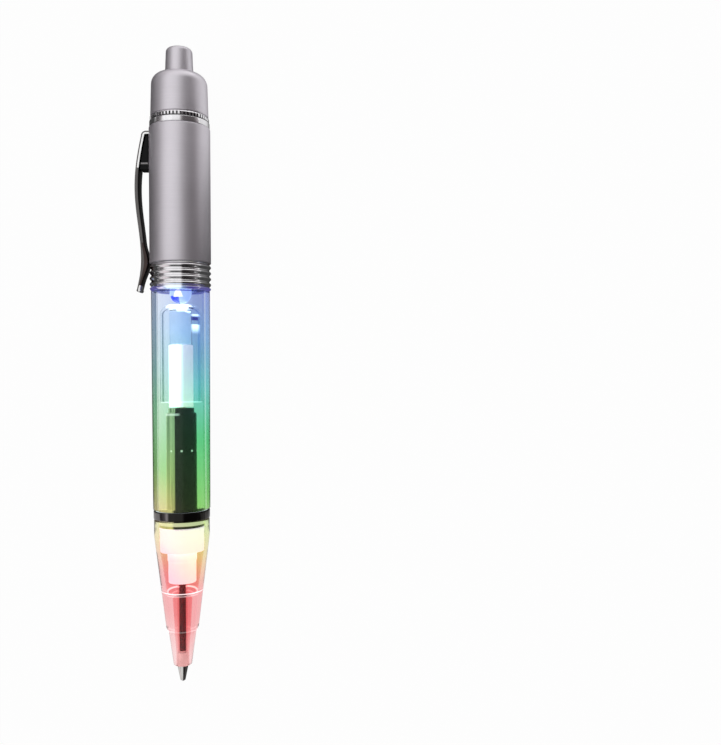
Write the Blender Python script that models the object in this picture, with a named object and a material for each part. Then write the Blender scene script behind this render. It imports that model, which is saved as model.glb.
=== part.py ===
"""Light-up ballpoint pen, lying on a table with its point towards +X and its pocket clip towards -Y.

Every piece is modelled upright, point down, round the pen's own axis, and hung from one empty that lays
the pen down. Heights below are measured along that axis from the lowest point of the writing ball.
All sizes are in metres.
"""

import math

import bmesh
import bpy
from mathutils import Matrix, Vector

# Fits and facets
FIT = 0.0002  # radial clearance between a piece and the bore it sits in
SEAT = 0.0002  # axial gap between two pieces that bear on each other
OUTER_SIDES = 32
INNER_SIDES = 20
SMALL_SIDES = 16
SHARP_ANGLE = math.radians(32)

# Writing point and refill
BALL_RADIUS = 0.00045
BALL_PLAY = 0.00005
BALL_EXPOSED = 0.00025
POINT_MOUTH_WALL = 0.00012
POINT_CONE_LENGTH = 0.00335
POINT_RADIUS = 0.00125
POINT_BODY_LENGTH = 0.0034
POINT_SHANK_RADIUS = 0.0006
POINT_SHANK_LENGTH = 0.0028
REFILL_RADIUS = 0.001175
REFILL_WALL = 0.00032
REFILL_LENGTH = 0.0598
INK_LENGTH = 0.0480

# Clear nose cone
NOSE_LENGTH = 0.0337
NOSE_MOUTH_RADIUS = 0.00634
NOSE_ROUNDING_LENGTH = 0.0068
NOSE_CONE_RADIUS = 0.00595
NOSE_STEP_HEIGHT = 0.0089
NOSE_STEP_RADIUS = 0.00372
NOSE_STEP_LENGTH = 0.0014
NOSE_GRIP_RADIUS = 0.00312
NOSE_END_RADIUS = 0.00205
NOSE_END_FILLET = 0.0006
NOSE_WALL = 0.0010
NOSE_SHOULDER_GAP = 0.0025
NOSE_GUIDE_RADIUS = 0.0021

# Dark joint ring and the chromed sleeve that carries the refill
JOINT_RING_LENGTH = 0.0020
JOINT_RING_RADIUS = 0.00642
JOINT_RING_EDGE = 0.0003
SPIGOT_RADIUS = 0.0052
SPIGOT_LENGTH = 0.0016
PLUG_LENGTH = 0.0004
CHROME_RADIUS = 0.0035
CHROME_LENGTH = 0.02147
CHROME_BORE_RADIUS = 0.0027
CHROME_NECK_RADIUS = 0.00297
CHROME_NECK_LENGTH = 0.0010
CHROME_ROOF = 0.0014

# White refill holder
HOLDER_RADIUS = 0.00485
HOLDER_LENGTH = 0.0054
HOLDER_BOSS_LENGTH = 0.0026
HOLDER_STEM_RADIUS = 0.00337
HOLDER_STEM_LENGTH = 0.0022
HOLDER_SNOUT_RADIUS = 0.0032
HOLDER_SNOUT_LENGTH = 0.0050
HOLDER_EDGE = 0.0003

# Clear barrel
BARREL_LENGTH = 0.04995
BARREL_LOWER_RADIUS = 0.0065
BARREL_UPPER_RADIUS = 0.00670
BARREL_NECK_WALL = 0.00085
BARREL_LEDGE = 0.0008
BARREL_LEDGE_DEPTH = 0.0010

# Light column inside the barrel
DIFFUSER_RADIUS = 0.00276
LIGHT_PIPE_RADIUS = 0.0026
LIGHT_PIPE_LENGTH = 0.00795
CAPSULE_RADIUS = 0.0048
CAPSULE_WALL = 0.0008
CAPSULE_CLEARANCE = 0.00125
CAPSULE_SHOULDER = 0.0024

# Lamp and its holder
LED_RADIUS = 0.0025
LED_LENGTH = 0.0086
LED_FLANGE_RADIUS = 0.00295
LED_FLANGE_LENGTH = 0.0010
LEAD_WIDTH = 0.0005
LEAD_PITCH = 0.00254
LED_HOLDER_LENGTH = 0.0023
LED_HOLDER_INSET = 0.0022

# Ribbed ring at the foot of the metal sleeve
RIBBED_LENGTH = 0.0061
RIB_COUNT = 4
RIB_PITCH = 0.00133
RIB_DEPTH = 0.00035
RIBBED_WALL = 0.0005
RIBBED_LIP = 0.00030

# Metal sleeve and the battery tube inside it
SLEEVE_LENGTH = 0.03115
SLEEVE_RADIUS = 0.0070
SLEEVE_WALL = 0.0005
SLEEVE_EDGE = 0.0003
BATTERY_BORE_RADIUS = 0.00415
BATTERY_LEDGE_HEIGHT = 0.0164
BATTERY_LEDGE_LENGTH = 0.0010
BATTERY_LEDGE_HOLE = 0.0026
NECK_STEP = 0.0017
NECK_LENGTH = 0.0058

# Circuit board, contacts and button cells
BOARD_THICKNESS = 0.0010
CONTACT_RADIUS = 0.0030
CONTACT_THICKNESS = 0.0004
CELL_RADIUS = 0.00395
CELL_HEIGHT = 0.0036
CELL_CAP_RADIUS = 0.0031
CELL_CAP_HEIGHT = 0.0007
CELL_EDGE = 0.0002
CELL_COUNT = 3
CONTACT_SPRING_WIDE = 0.0028
CONTACT_SPRING_NARROW = 0.0014
CONTACT_SPRING_CURLS = 3
CONTACT_WIRE_RADIUS = 0.00018

# Rings under the cap
COLLAR_LENGTH = 0.0012
COLLAR_STEP = 0.00015
COLLAR_EDGE = 0.00035
KNURL_LENGTH = 0.0009
KNURL_STEP = 0.00025
KNURL_TOOTH_DEPTH = 0.0003
KNURL_TEETH = 52

# Top cap
CAP_LENGTH = 0.0098
CAP_STEP_IN = 0.00038
CAP_TAPER = 0.00026
CAP_RIM = 0.00031
CAP_ROOF = 0.0011
CAP_THREAD_LENGTH = 0.0040

# Push button, its spring and the switch
BUTTON_RISE = 0.0060
BUTTON_LOWER_RADIUS = 0.00325
BUTTON_UPPER_RADIUS = 0.0030
BUTTON_FILLET = 0.0010
BUTTON_FLANGE_RADIUS = 0.0042
BUTTON_FLANGE_LENGTH = 0.0010
BUTTON_STEM_RADIUS = 0.0016
BUTTON_STEM_LENGTH = 0.0013
BUTTON_TRAVEL = 0.0016
BUTTON_WIRE_RADIUS = 0.00016
BUTTON_SPRING_RADIUS = 0.0025
BUTTON_SPRING_CURLS = 3
SWITCH_BOSS_LENGTH = 0.0005
SWITCH_FLANGE_LENGTH = 0.0004
SWITCH_BODY_LENGTH = 0.0033
PLUNGER_RADIUS = 0.0009
PLUNGER_LENGTH = 0.0030

# Pocket clip and the black block under it
CLIP_THICKNESS = 0.0008
CLIP_WIDTH = 0.0040
CLIP_END_WIDTH = 0.0034
CLIP_TAB_DEPTH = 0.0016
CLIP_HEAD_STANDOFF = 0.0013
CLIP_CREST_STANDOFF = 0.0031
CLIP_WAIST_STANDOFF = 0.00174
CLIP_LIP_STANDOFF = 0.0029
CLIP_HEAD_BEND = 0.0011
CLIP_HEAD_DROP = 0.0008
CLIP_CREST_DROP = 0.0138
CLIP_WAIST_DROP = 0.0303
CLIP_LIP_DROP = 0.0377
CLIP_REST_GAP = 0.0003
CLIP_SLOT_CLEARANCE = 0.0003
CLIP_STATIONS = 8
CLIP_BEND_STATIONS = 4
CLIP_EDGE = 0.00012
BLOCK_WIDTH = 0.0034
BLOCK_LENGTH = 0.0077

# Heights along the pen, each from the piece below it
POINT_MOUTH = BALL_EXPOSED
POINT_SHOULDER = POINT_MOUTH + POINT_CONE_LENGTH
POINT_TOP = POINT_SHOULDER + POINT_BODY_LENGTH
REFILL_BOTTOM = POINT_TOP + SEAT
REFILL_TOP = REFILL_BOTTOM + REFILL_LENGTH
NOSE_BOTTOM = POINT_SHOULDER + SEAT
NOSE_TOP = NOSE_BOTTOM + NOSE_LENGTH
JOINT_RING_BOTTOM = NOSE_TOP + SEAT
JOINT_RING_TOP = JOINT_RING_BOTTOM + JOINT_RING_LENGTH
BARREL_BOTTOM = JOINT_RING_TOP + SEAT
BARREL_TOP = BARREL_BOTTOM + BARREL_LENGTH
SPIGOT_BOTTOM = NOSE_TOP - SPIGOT_LENGTH
PLUG_TOP = BARREL_BOTTOM + PLUG_LENGTH
CHROME_TOP = PLUG_TOP + CHROME_LENGTH
CHROME_NECK_TOP = CHROME_TOP + CHROME_RADIUS - CHROME_NECK_RADIUS + CHROME_NECK_LENGTH
HOLDER_TOP = SPIGOT_BOTTOM - SEAT
HOLDER_BOTTOM = HOLDER_TOP - HOLDER_LENGTH
HOLDER_STEM_BOTTOM = HOLDER_BOTTOM - HOLDER_STEM_LENGTH
HOLDER_SNOUT_BOTTOM = HOLDER_STEM_BOTTOM - HOLDER_SNOUT_LENGTH
NOSE_SHOULDER = HOLDER_SNOUT_BOTTOM - NOSE_SHOULDER_GAP
LED_HOLDER_BOTTOM = BARREL_TOP + LED_HOLDER_INSET
LED_HOLDER_TOP = LED_HOLDER_BOTTOM + LED_HOLDER_LENGTH
LED_FLANGE_BOTTOM = LED_HOLDER_TOP + SEAT
LED_TOP = LED_FLANGE_BOTTOM + LED_FLANGE_LENGTH
LED_BOTTOM = LED_TOP - LED_LENGTH
CAPSULE_TOP = LED_BOTTOM - SEAT
CAPSULE_CEILING = CAPSULE_TOP - CAPSULE_WALL
CAPSULE_BOTTOM = CHROME_NECK_TOP + CAPSULE_CLEARANCE
LIGHT_PIPE_TOP = CAPSULE_CEILING - SEAT
LIGHT_PIPE_BOTTOM = LIGHT_PIPE_TOP - LIGHT_PIPE_LENGTH
DIFFUSER_TOP = LIGHT_PIPE_BOTTOM - SEAT
DIFFUSER_BOTTOM = CHROME_NECK_TOP + SEAT
RIBBED_BOTTOM = BARREL_TOP + SEAT
RIBBED_TOP = RIBBED_BOTTOM + RIBBED_LENGTH
BARREL_NECK_TOP = RIBBED_TOP
SLEEVE_BOTTOM = RIBBED_TOP + SEAT
SLEEVE_TOP = SLEEVE_BOTTOM + SLEEVE_LENGTH
BATTERY_TUBE_BOTTOM = SLEEVE_BOTTOM
NECK_BOTTOM = SLEEVE_TOP
NECK_TOP = NECK_BOTTOM + NECK_LENGTH
BATTERY_LEDGE_BOTTOM = BATTERY_TUBE_BOTTOM + BATTERY_LEDGE_HEIGHT
BATTERY_FLOOR = BATTERY_LEDGE_BOTTOM + BATTERY_LEDGE_LENGTH
BOARD_BOTTOM = BATTERY_FLOOR + SEAT
CONTACT_BOTTOM = BOARD_BOTTOM + BOARD_THICKNESS + SEAT
CELLS_BOTTOM = CONTACT_BOTTOM + CONTACT_THICKNESS + SEAT
CELLS_TOP = CELLS_BOTTOM + CELL_COUNT * (CELL_HEIGHT + SEAT) - SEAT
COLLAR_BOTTOM = SLEEVE_TOP + SEAT
COLLAR_TOP = COLLAR_BOTTOM + COLLAR_LENGTH
KNURL_BOTTOM = COLLAR_TOP + SEAT
KNURL_TOP = KNURL_BOTTOM + KNURL_LENGTH
CAP_BOTTOM = KNURL_TOP + SEAT
CAP_TOP = CAP_BOTTOM + CAP_LENGTH
CAP_CEILING = CAP_TOP - CAP_ROOF
CAP_STEP = CAP_BOTTOM + CAP_THREAD_LENGTH
SWITCH_FLANGE_TOP = CAP_STEP - SEAT
SWITCH_FLANGE_BOTTOM = SWITCH_FLANGE_TOP - SWITCH_FLANGE_LENGTH
SWITCH_BOTTOM = SWITCH_FLANGE_BOTTOM - SWITCH_BODY_LENGTH
SWITCH_TOP = SWITCH_FLANGE_TOP + SWITCH_BOSS_LENGTH
BUTTON_TOP = CAP_TOP + BUTTON_RISE
BUTTON_FLANGE_TOP = CAP_CEILING - SEAT
BUTTON_FLANGE_BOTTOM = BUTTON_FLANGE_TOP - BUTTON_FLANGE_LENGTH
BUTTON_STEM_BOTTOM = BUTTON_FLANGE_BOTTOM - BUTTON_STEM_LENGTH
PLUNGER_TOP = BUTTON_STEM_BOTTOM - SEAT
CLIP_HEAD = SLEEVE_TOP - CLIP_HEAD_DROP
CLIP_HINGE = CLIP_HEAD - CLIP_THICKNESS / 2

# Radii and bores that follow the pieces beside them
REFILL_HOLE = REFILL_RADIUS + FIT
POINT_HOLE = POINT_RADIUS + FIT
NOSE_BORE = SPIGOT_RADIUS + FIT
BARREL_BORE = SPIGOT_RADIUS + FIT
NECK_RADIUS = SLEEVE_RADIUS - NECK_STEP
NECK_THREAD_BORE = NECK_RADIUS + FIT
RIBBED_BORE = SLEEVE_RADIUS - RIB_DEPTH - RIBBED_WALL
BARREL_NECK_RADIUS = RIBBED_BORE - FIT
BARREL_NECK_BORE = BARREL_NECK_RADIUS - BARREL_NECK_WALL
BATTERY_TUBE_RADIUS = SLEEVE_RADIUS - SLEEVE_WALL - FIT
SWITCH_RADIUS = BATTERY_BORE_RADIUS - FIT
COLLAR_RADIUS = SLEEVE_RADIUS - COLLAR_STEP
KNURL_RADIUS = SLEEVE_RADIUS - KNURL_STEP
CAP_LOWER_RADIUS = SLEEVE_RADIUS - CAP_STEP_IN
CAP_UPPER_RADIUS = CAP_LOWER_RADIUS - CAP_TAPER
BUTTON_HOLE = BUTTON_LOWER_RADIUS + FIT
CAP_FILLET = CAP_UPPER_RADIUS - BUTTON_HOLE - CAP_RIM
BUTTON_CHAMBER = BUTTON_FLANGE_RADIUS + FIT


def finish(name, colour, roughness, metallic=0.0):
    """A Principled material of one colour, for one piece."""
    material = bpy.data.materials.new(name)
    material.use_nodes = True
    shader = material.node_tree.nodes["Principled BSDF"]
    shader.inputs["Base Color"].default_value = (*colour, 1.0)
    shader.inputs["Roughness"].default_value = roughness
    shader.inputs["Metallic"].default_value = metallic
    material.diffuse_color = (*colour, 1.0)
    return material


SATIN_GREY = ((0.50, 0.49, 0.52), 0.35, 0.9)
BRIGHT_CHROME = ((0.80, 0.80, 0.82), 0.12, 1.0)
DARK_CHROME = ((0.10, 0.10, 0.09), 0.15, 1.0)
CLEAR_TINT = ((0.55, 0.80, 0.70), 0.08)
CLEAR_WARM = ((0.92, 0.55, 0.42), 0.08)
CLEAR = ((0.80, 0.90, 0.95), 0.08)
WHITE_PLASTIC = ((0.88, 0.86, 0.84), 0.45)
BLACK_PLASTIC = ((0.02, 0.02, 0.02), 0.40)
NICKEL = ((0.62, 0.58, 0.52), 0.25, 1.0)
SPRING_STEEL = ((0.55, 0.55, 0.56), 0.25, 1.0)
BOARD_GREEN = ((0.05, 0.25, 0.10), 0.45)
RED_INK = ((0.30, 0.02, 0.03), 0.30)
REFILL_PLASTIC = ((0.75, 0.45, 0.42), 0.30)


def settle(name, mesh, look, location=(0.0, 0.0, 0.0)):
    """Make the object of a piece, shade it smooth and hang it from the pen's axis."""
    mesh.materials.append(finish(name, *look))
    mesh.shade_smooth()
    mesh.set_sharp_from_angle(angle=SHARP_ANGLE)
    piece = bpy.data.objects.new(name, mesh)
    bpy.context.scene.collection.objects.link(piece)
    piece.parent = pen_axis
    piece.location = location
    return piece


def mesh_of(name, shape):
    """Close a bmesh into a mesh with its faces pointing out."""
    bmesh.ops.recalc_face_normals(shape, faces=shape.faces)
    mesh = bpy.data.meshes.new(name)
    shape.to_mesh(mesh)
    shape.free()
    return mesh


def arc(centre_radius, centre_height, radius, start, end, steps):
    """Points of an arc in the profile plane, with its angles in degrees from the outward direction."""
    points = []
    for step in range(steps + 1):
        angle = math.radians(start + (end - start) * step / steps)
        points.append((centre_radius + radius * math.cos(angle), centre_height + radius * math.sin(angle)))
    return points


def curve(start, control, end, steps):
    """Points of a quadratic curve in the profile plane."""
    points = []
    for step in range(steps + 1):
        t = step / steps
        weights = ((1 - t) ** 2, 2 * t * (1 - t), t**2)
        points.append(tuple(sum(w * p[i] for w, p in zip(weights, (start, control, end))) for i in (0, 1)))
    return points


def spun(name, profile, sides):
    """Spin a profile of (radius, height) points round the pen's axis, with a flat on each cardinal side.

    A profile that starts and ends on the axis is solid there, and any other is joined end to end.
    """
    shape = bmesh.new()
    corners = [shape.verts.new((radius, 0.0, height)) for radius, height in profile]
    solid = profile[0][0] == 0.0 and profile[-1][0] == 0.0
    loop = corners if solid else corners + corners[:1]
    edges = [shape.edges.new(pair) for pair in zip(loop, loop[1:])]
    half_side = Matrix.Rotation(math.pi / sides, 3, "Z")
    bmesh.ops.rotate(shape, cent=(0, 0, 0), matrix=half_side, verts=corners)
    bmesh.ops.spin(
        shape, geom=corners + edges, cent=(0, 0, 0), axis=(0, 0, 1), angle=math.tau, steps=sides, use_merge=True
    )
    bmesh.ops.remove_doubles(shape, verts=shape.verts, dist=1e-7)
    return mesh_of(name, shape)


def turned(name, profile, sides, look):
    """A turned piece on the pen's axis."""
    return settle(name, spun(name, profile, sides), look)


def tube(name, outer, inner, bottom, top, sides, look, edge=0.0):
    """A plain turned ring, with its two outer edges chamfered by edge."""
    if edge:
        wall = [(outer - edge, top), (outer, top - edge), (outer, bottom + edge), (outer - edge, bottom)]
    else:
        wall = [(outer, top), (outer, bottom)]
    return turned(name, [(inner, top), *wall, (inner, bottom)], sides, look)


def rod(name, radius, bottom, top, sides, look):
    """A plain turned rod or disc."""
    turned(name, [(0.0, top), (radius, top), (radius, bottom), (0.0, bottom)], sides, look)


def coil(name, radii, bottom, top, curls, wire_radius, look):
    """A coil spring of one unbroken round wire, from bottom to top, whose radius runs between two values."""
    points_per_curl = 9
    low, high = bottom + wire_radius, top - wire_radius
    count = curls * points_per_curl
    path = []
    for step in range(count + 1):
        t = step / count
        angle = math.tau * curls * t
        radius = radii[0] + (radii[1] - radii[0]) * t
        path.append(Vector((radius * math.cos(angle), radius * math.sin(angle), low + (high - low) * t)))
    spring = bpy.data.curves.new(name, "CURVE")
    spring.dimensions = "3D"
    spring.bevel_depth = wire_radius
    spring.bevel_resolution = 1
    spring.use_fill_caps = True
    spline = spring.splines.new("POLY")
    spline.points.add(count)
    for point, place in zip(spline.points, path):
        point.co = (*place, 1.0)
    spring.materials.append(finish(name, *look))
    piece = bpy.data.objects.new(name, spring)
    bpy.context.scene.collection.objects.link(piece)
    piece.parent = pen_axis
    apart = points_per_curl // 2
    gaps = [(a - b).length for i, a in enumerate(path) for b in path[i + apart :]]
    print(f"{name}: least gap to itself {1000 * (min(gaps) - 2 * wire_radius):.2f} mm")


def box(name, low, high):
    """A closed box between two corners."""
    shape = bmesh.new()
    bmesh.ops.create_cube(shape, size=1.0)
    size = Vector(high) - Vector(low)
    bmesh.ops.scale(shape, vec=size, verts=shape.verts)
    bmesh.ops.translate(shape, vec=Vector(low) + size / 2, verts=shape.verts)
    return mesh_of(name, shape)


def cutter(name, mesh):
    """A tool body for a cut, which is no piece of the pen."""
    tool = bpy.data.objects.new(name, mesh)
    bpy.context.scene.collection.objects.link(tool)
    tool.parent = pen_axis
    tool.hide_render = True
    tool.display_type = "WIRE"
    return tool


def cut(piece, tool):
    """Take the tool's shape out of a piece."""
    modifier = piece.modifiers.new(tool.name, "BOOLEAN")
    modifier.operation = "DIFFERENCE"
    modifier.solver = "EXACT"
    modifier.object = tool


def soften(piece, width):
    """Round a piece's sharp edges a little."""
    modifier = piece.modifiers.new("edges", "BEVEL")
    modifier.width = width
    modifier.segments = 1
    modifier.limit_method = "ANGLE"
    modifier.angle_limit = SHARP_ANGLE


def writing_ball():
    shape = bmesh.new()
    bmesh.ops.create_uvsphere(shape, u_segments=SMALL_SIDES, v_segments=SMALL_SIDES // 2, radius=BALL_RADIUS)
    settle("writing_ball", mesh_of("writing_ball", shape), SPRING_STEEL, (0.0, 0.0, BALL_RADIUS))


def writing_point():
    socket = BALL_RADIUS + BALL_PLAY
    rim_angle = math.degrees(math.asin((POINT_MOUTH - BALL_RADIUS) / socket))
    cup = arc(0.0, BALL_RADIUS, socket, rim_angle, 90.0, 5)
    mouth_radius = cup[0][0] + POINT_MOUTH_WALL
    shank_top = POINT_TOP + POINT_SHANK_LENGTH
    profile = [
        (0.0, shank_top),
        (POINT_SHANK_RADIUS, shank_top),
        (POINT_SHANK_RADIUS, POINT_TOP),
        (POINT_RADIUS, POINT_TOP),
        (POINT_RADIUS, POINT_SHOULDER),
        (mouth_radius, POINT_MOUTH),
        *cup[:-1],
        (0.0, BALL_RADIUS + socket),
    ]
    turned("writing_point", profile, SMALL_SIDES, NICKEL)


def refill():
    bore = REFILL_RADIUS - REFILL_WALL
    tube("refill_tube", REFILL_RADIUS, bore, REFILL_BOTTOM, REFILL_TOP, SMALL_SIDES, REFILL_PLASTIC)
    ink_bottom = POINT_TOP + POINT_SHANK_LENGTH + SEAT
    rod("ink_column", bore - FIT / 2, ink_bottom, ink_bottom + INK_LENGTH, SMALL_SIDES, RED_INK)


def nose_cone():
    step = NOSE_BOTTOM + NOSE_STEP_HEIGHT
    cone_top = NOSE_TOP - NOSE_ROUNDING_LENGTH
    slope = (NOSE_CONE_RADIUS - NOSE_STEP_RADIUS) / (cone_top - step)
    bend = cone_top + (NOSE_MOUTH_RADIUS - NOSE_CONE_RADIUS) / slope
    shoulder_radius = NOSE_STEP_RADIUS + slope * (NOSE_SHOULDER - step) - NOSE_WALL
    profile = [
        (NOSE_BORE, NOSE_TOP),
        *curve((NOSE_MOUTH_RADIUS, NOSE_TOP), (NOSE_MOUTH_RADIUS, bend), (NOSE_CONE_RADIUS, cone_top), 4),
        *curve(
            (NOSE_STEP_RADIUS, step),
            (NOSE_GRIP_RADIUS, step - NOSE_STEP_LENGTH / 3),
            (NOSE_GRIP_RADIUS, step - NOSE_STEP_LENGTH),
            3,
        ),
        *curve(
            (NOSE_END_RADIUS, NOSE_BOTTOM + NOSE_END_FILLET),
            (NOSE_END_RADIUS, NOSE_BOTTOM),
            (NOSE_END_RADIUS - NOSE_END_FILLET / 2, NOSE_BOTTOM),
            3,
        ),
        (POINT_HOLE, NOSE_BOTTOM),
        (POINT_HOLE, POINT_TOP),
        (NOSE_GUIDE_RADIUS, NOSE_SHOULDER - NOSE_WALL / 2),
        (shoulder_radius, NOSE_SHOULDER),
        (HOLDER_RADIUS + FIT, HOLDER_BOTTOM),
        (NOSE_BORE, SPIGOT_BOTTOM),
    ]
    turned("nose_cone", profile, OUTER_SIDES, CLEAR_WARM)


def joint_ring():
    tube(
        "joint_ring",
        JOINT_RING_RADIUS,
        SPIGOT_RADIUS + FIT,
        JOINT_RING_BOTTOM,
        JOINT_RING_TOP,
        OUTER_SIDES,
        DARK_CHROME,
        JOINT_RING_EDGE,
    )


def refill_sleeve():
    fillet = CHROME_RADIUS - CHROME_NECK_RADIUS
    roof_bottom = CHROME_NECK_TOP - CHROME_NECK_LENGTH - CHROME_ROOF
    profile = [
        (REFILL_HOLE, CHROME_NECK_TOP),
        (CHROME_NECK_RADIUS, CHROME_NECK_TOP),
        (CHROME_NECK_RADIUS, CHROME_TOP + fillet),
        *arc(CHROME_NECK_RADIUS, CHROME_TOP, fillet, 67.5, 0.0, 3),
        (CHROME_RADIUS, PLUG_TOP),
        (SPIGOT_RADIUS, PLUG_TOP),
        (SPIGOT_RADIUS, SPIGOT_BOTTOM),
        (CHROME_BORE_RADIUS, SPIGOT_BOTTOM),
        (CHROME_BORE_RADIUS, roof_bottom),
        (REFILL_HOLE, roof_bottom),
    ]
    turned("refill_sleeve", profile, OUTER_SIDES, DARK_CHROME)


def refill_holder():
    boss_radius = CHROME_BORE_RADIUS - FIT
    boss_top = HOLDER_TOP + HOLDER_BOSS_LENGTH
    profile = [
        (REFILL_HOLE, boss_top),
        (boss_radius, boss_top),
        (boss_radius, HOLDER_TOP),
        (HOLDER_RADIUS, HOLDER_TOP),
        (HOLDER_RADIUS, HOLDER_BOTTOM + HOLDER_EDGE),
        (HOLDER_RADIUS - HOLDER_EDGE, HOLDER_BOTTOM),
        (HOLDER_STEM_RADIUS, HOLDER_BOTTOM),
        (HOLDER_STEM_RADIUS, HOLDER_STEM_BOTTOM),
        (HOLDER_SNOUT_RADIUS, HOLDER_STEM_BOTTOM),
        (HOLDER_SNOUT_RADIUS, HOLDER_SNOUT_BOTTOM),
        (REFILL_HOLE, HOLDER_SNOUT_BOTTOM),
    ]
    turned("refill_holder", profile, INNER_SIDES, WHITE_PLASTIC)


def clear_barrel():
    ledge_bore = BARREL_NECK_BORE - BARREL_LEDGE
    ledge_top = LED_HOLDER_BOTTOM - SEAT
    ledge_bottom = ledge_top - BARREL_LEDGE_DEPTH
    profile = [
        (BARREL_NECK_BORE, BARREL_NECK_TOP),
        (BARREL_NECK_RADIUS, BARREL_NECK_TOP),
        (BARREL_NECK_RADIUS, BARREL_TOP),
        (BARREL_UPPER_RADIUS, BARREL_TOP),
        (BARREL_LOWER_RADIUS, BARREL_BOTTOM),
        (BARREL_BORE, BARREL_BOTTOM),
        (BARREL_BORE, ledge_bottom - BARREL_LEDGE),
        (ledge_bore, ledge_bottom),
        (ledge_bore, ledge_top),
        (BARREL_NECK_BORE, ledge_top),
    ]
    turned("clear_barrel", profile, OUTER_SIDES, CLEAR_TINT)


def light_column():
    socket_top = max(REFILL_TOP, DIFFUSER_BOTTOM + DIFFUSER_RADIUS) + SEAT
    profile = [
        (0.0, DIFFUSER_TOP),
        (DIFFUSER_RADIUS, DIFFUSER_TOP),
        (DIFFUSER_RADIUS, DIFFUSER_BOTTOM),
        (REFILL_HOLE, DIFFUSER_BOTTOM),
        (REFILL_HOLE, socket_top),
        (0.0, socket_top),
    ]
    turned("diffuser_rod", profile, INNER_SIDES, WHITE_PLASTIC)
    rod("light_pipe", LIGHT_PIPE_RADIUS, LIGHT_PIPE_BOTTOM, LIGHT_PIPE_TOP, INNER_SIDES, CLEAR)


def light_capsule():
    crown = CAPSULE_RADIUS - CAPSULE_SHOULDER
    shoulder = CAPSULE_TOP - CAPSULE_SHOULDER
    inner_fillet = CAPSULE_SHOULDER - CAPSULE_WALL
    profile = [
        (0.0, CAPSULE_TOP),
        *arc(crown, shoulder, CAPSULE_SHOULDER, 90.0, 0.0, 4),
        (CAPSULE_RADIUS, CAPSULE_BOTTOM),
        (CAPSULE_RADIUS - CAPSULE_WALL, CAPSULE_BOTTOM),
        *arc(crown, shoulder, inner_fillet, 0.0, 90.0, 3),
        (0.0, CAPSULE_CEILING),
    ]
    turned("light_capsule", profile, INNER_SIDES, CLEAR)


def led_lamp():
    dome = arc(0.0, LED_BOTTOM + LED_RADIUS, LED_RADIUS, 0.0, -90.0, 4)
    profile = [
        (0.0, LED_TOP),
        (LED_FLANGE_RADIUS, LED_TOP),
        (LED_FLANGE_RADIUS, LED_FLANGE_BOTTOM),
        (LED_RADIUS, LED_FLANGE_BOTTOM),
        *dome[:-1],
        (0.0, LED_BOTTOM),
    ]
    turned("led_lamp", profile, INNER_SIDES, CLEAR)
    tube(
        "led_holder",
        BARREL_NECK_BORE - FIT,
        LED_RADIUS + FIT,
        LED_HOLDER_BOTTOM,
        LED_HOLDER_TOP,
        INNER_SIDES,
        WHITE_PLASTIC,
    )
    half = LEAD_WIDTH / 2
    for side, name in ((-1, "led_lead_minus"), (1, "led_lead_plus")):
        middle = side * LEAD_PITCH / 2
        low = (-half, middle - half, LED_TOP + SEAT)
        high = (half, middle + half, BOARD_BOTTOM - SEAT)
        settle(name, box(name, low, high), SPRING_STEEL)


def ribbed_ring():
    profile = [(RIBBED_BORE, RIBBED_TOP), (SLEEVE_RADIUS - RIB_DEPTH, RIBBED_TOP)]
    for rib in range(RIB_COUNT):
        top = RIBBED_TOP - rib * RIB_PITCH
        crown = SLEEVE_RADIUS - RIB_DEPTH
        profile += [
            (crown, top - RIB_PITCH / 6),
            (SLEEVE_RADIUS, top - RIB_PITCH / 3),
            (SLEEVE_RADIUS, top - 5 * RIB_PITCH / 6),
            (crown, top - RIB_PITCH),
        ]
    lip_top = RIBBED_TOP - RIB_COUNT * RIB_PITCH
    profile += [
        (SLEEVE_RADIUS, lip_top - RIB_PITCH / 6),
        (SLEEVE_RADIUS - RIBBED_LIP, RIBBED_BOTTOM),
        (RIBBED_BORE, RIBBED_BOTTOM),
    ]
    turned("ribbed_ring", profile, OUTER_SIDES, BRIGHT_CHROME)


def clip_slot():
    """The opening for the clip's tab, through the sleeve's wall and into the battery tube."""
    half = CLIP_WIDTH / 2 + CLIP_SLOT_CLEARANCE
    inside = SLEEVE_RADIUS - CLIP_TAB_DEPTH - CLIP_SLOT_CLEARANCE
    bottom = CLIP_HEAD - CLIP_THICKNESS - CLIP_SLOT_CLEARANCE
    low = (-half, -2 * SLEEVE_RADIUS, bottom)
    high = (half, -inside, CLIP_HEAD + CLIP_SLOT_CLEARANCE)
    return cutter("clip_slot", box("clip_slot", low, high))


def metal_sleeve(slot):
    sleeve = tube(
        "metal_sleeve",
        SLEEVE_RADIUS,
        SLEEVE_RADIUS - SLEEVE_WALL,
        SLEEVE_BOTTOM,
        SLEEVE_TOP,
        OUTER_SIDES,
        SATIN_GREY,
        SLEEVE_EDGE,
    )
    cut(sleeve, slot)


def battery_tube(slot):
    profile = [
        (BATTERY_BORE_RADIUS, NECK_TOP),
        (NECK_RADIUS, NECK_TOP),
        (NECK_RADIUS, NECK_BOTTOM),
        (BATTERY_TUBE_RADIUS, NECK_BOTTOM),
        (BATTERY_TUBE_RADIUS, BATTERY_TUBE_BOTTOM),
        (BATTERY_BORE_RADIUS, BATTERY_TUBE_BOTTOM),
        (BATTERY_BORE_RADIUS, BATTERY_LEDGE_BOTTOM),
        (BATTERY_LEDGE_HOLE, BATTERY_LEDGE_BOTTOM),
        (BATTERY_LEDGE_HOLE, BATTERY_FLOOR),
        (BATTERY_BORE_RADIUS, BATTERY_FLOOR),
    ]
    cut(turned("battery_tube", profile, OUTER_SIDES, WHITE_PLASTIC), slot)


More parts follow.
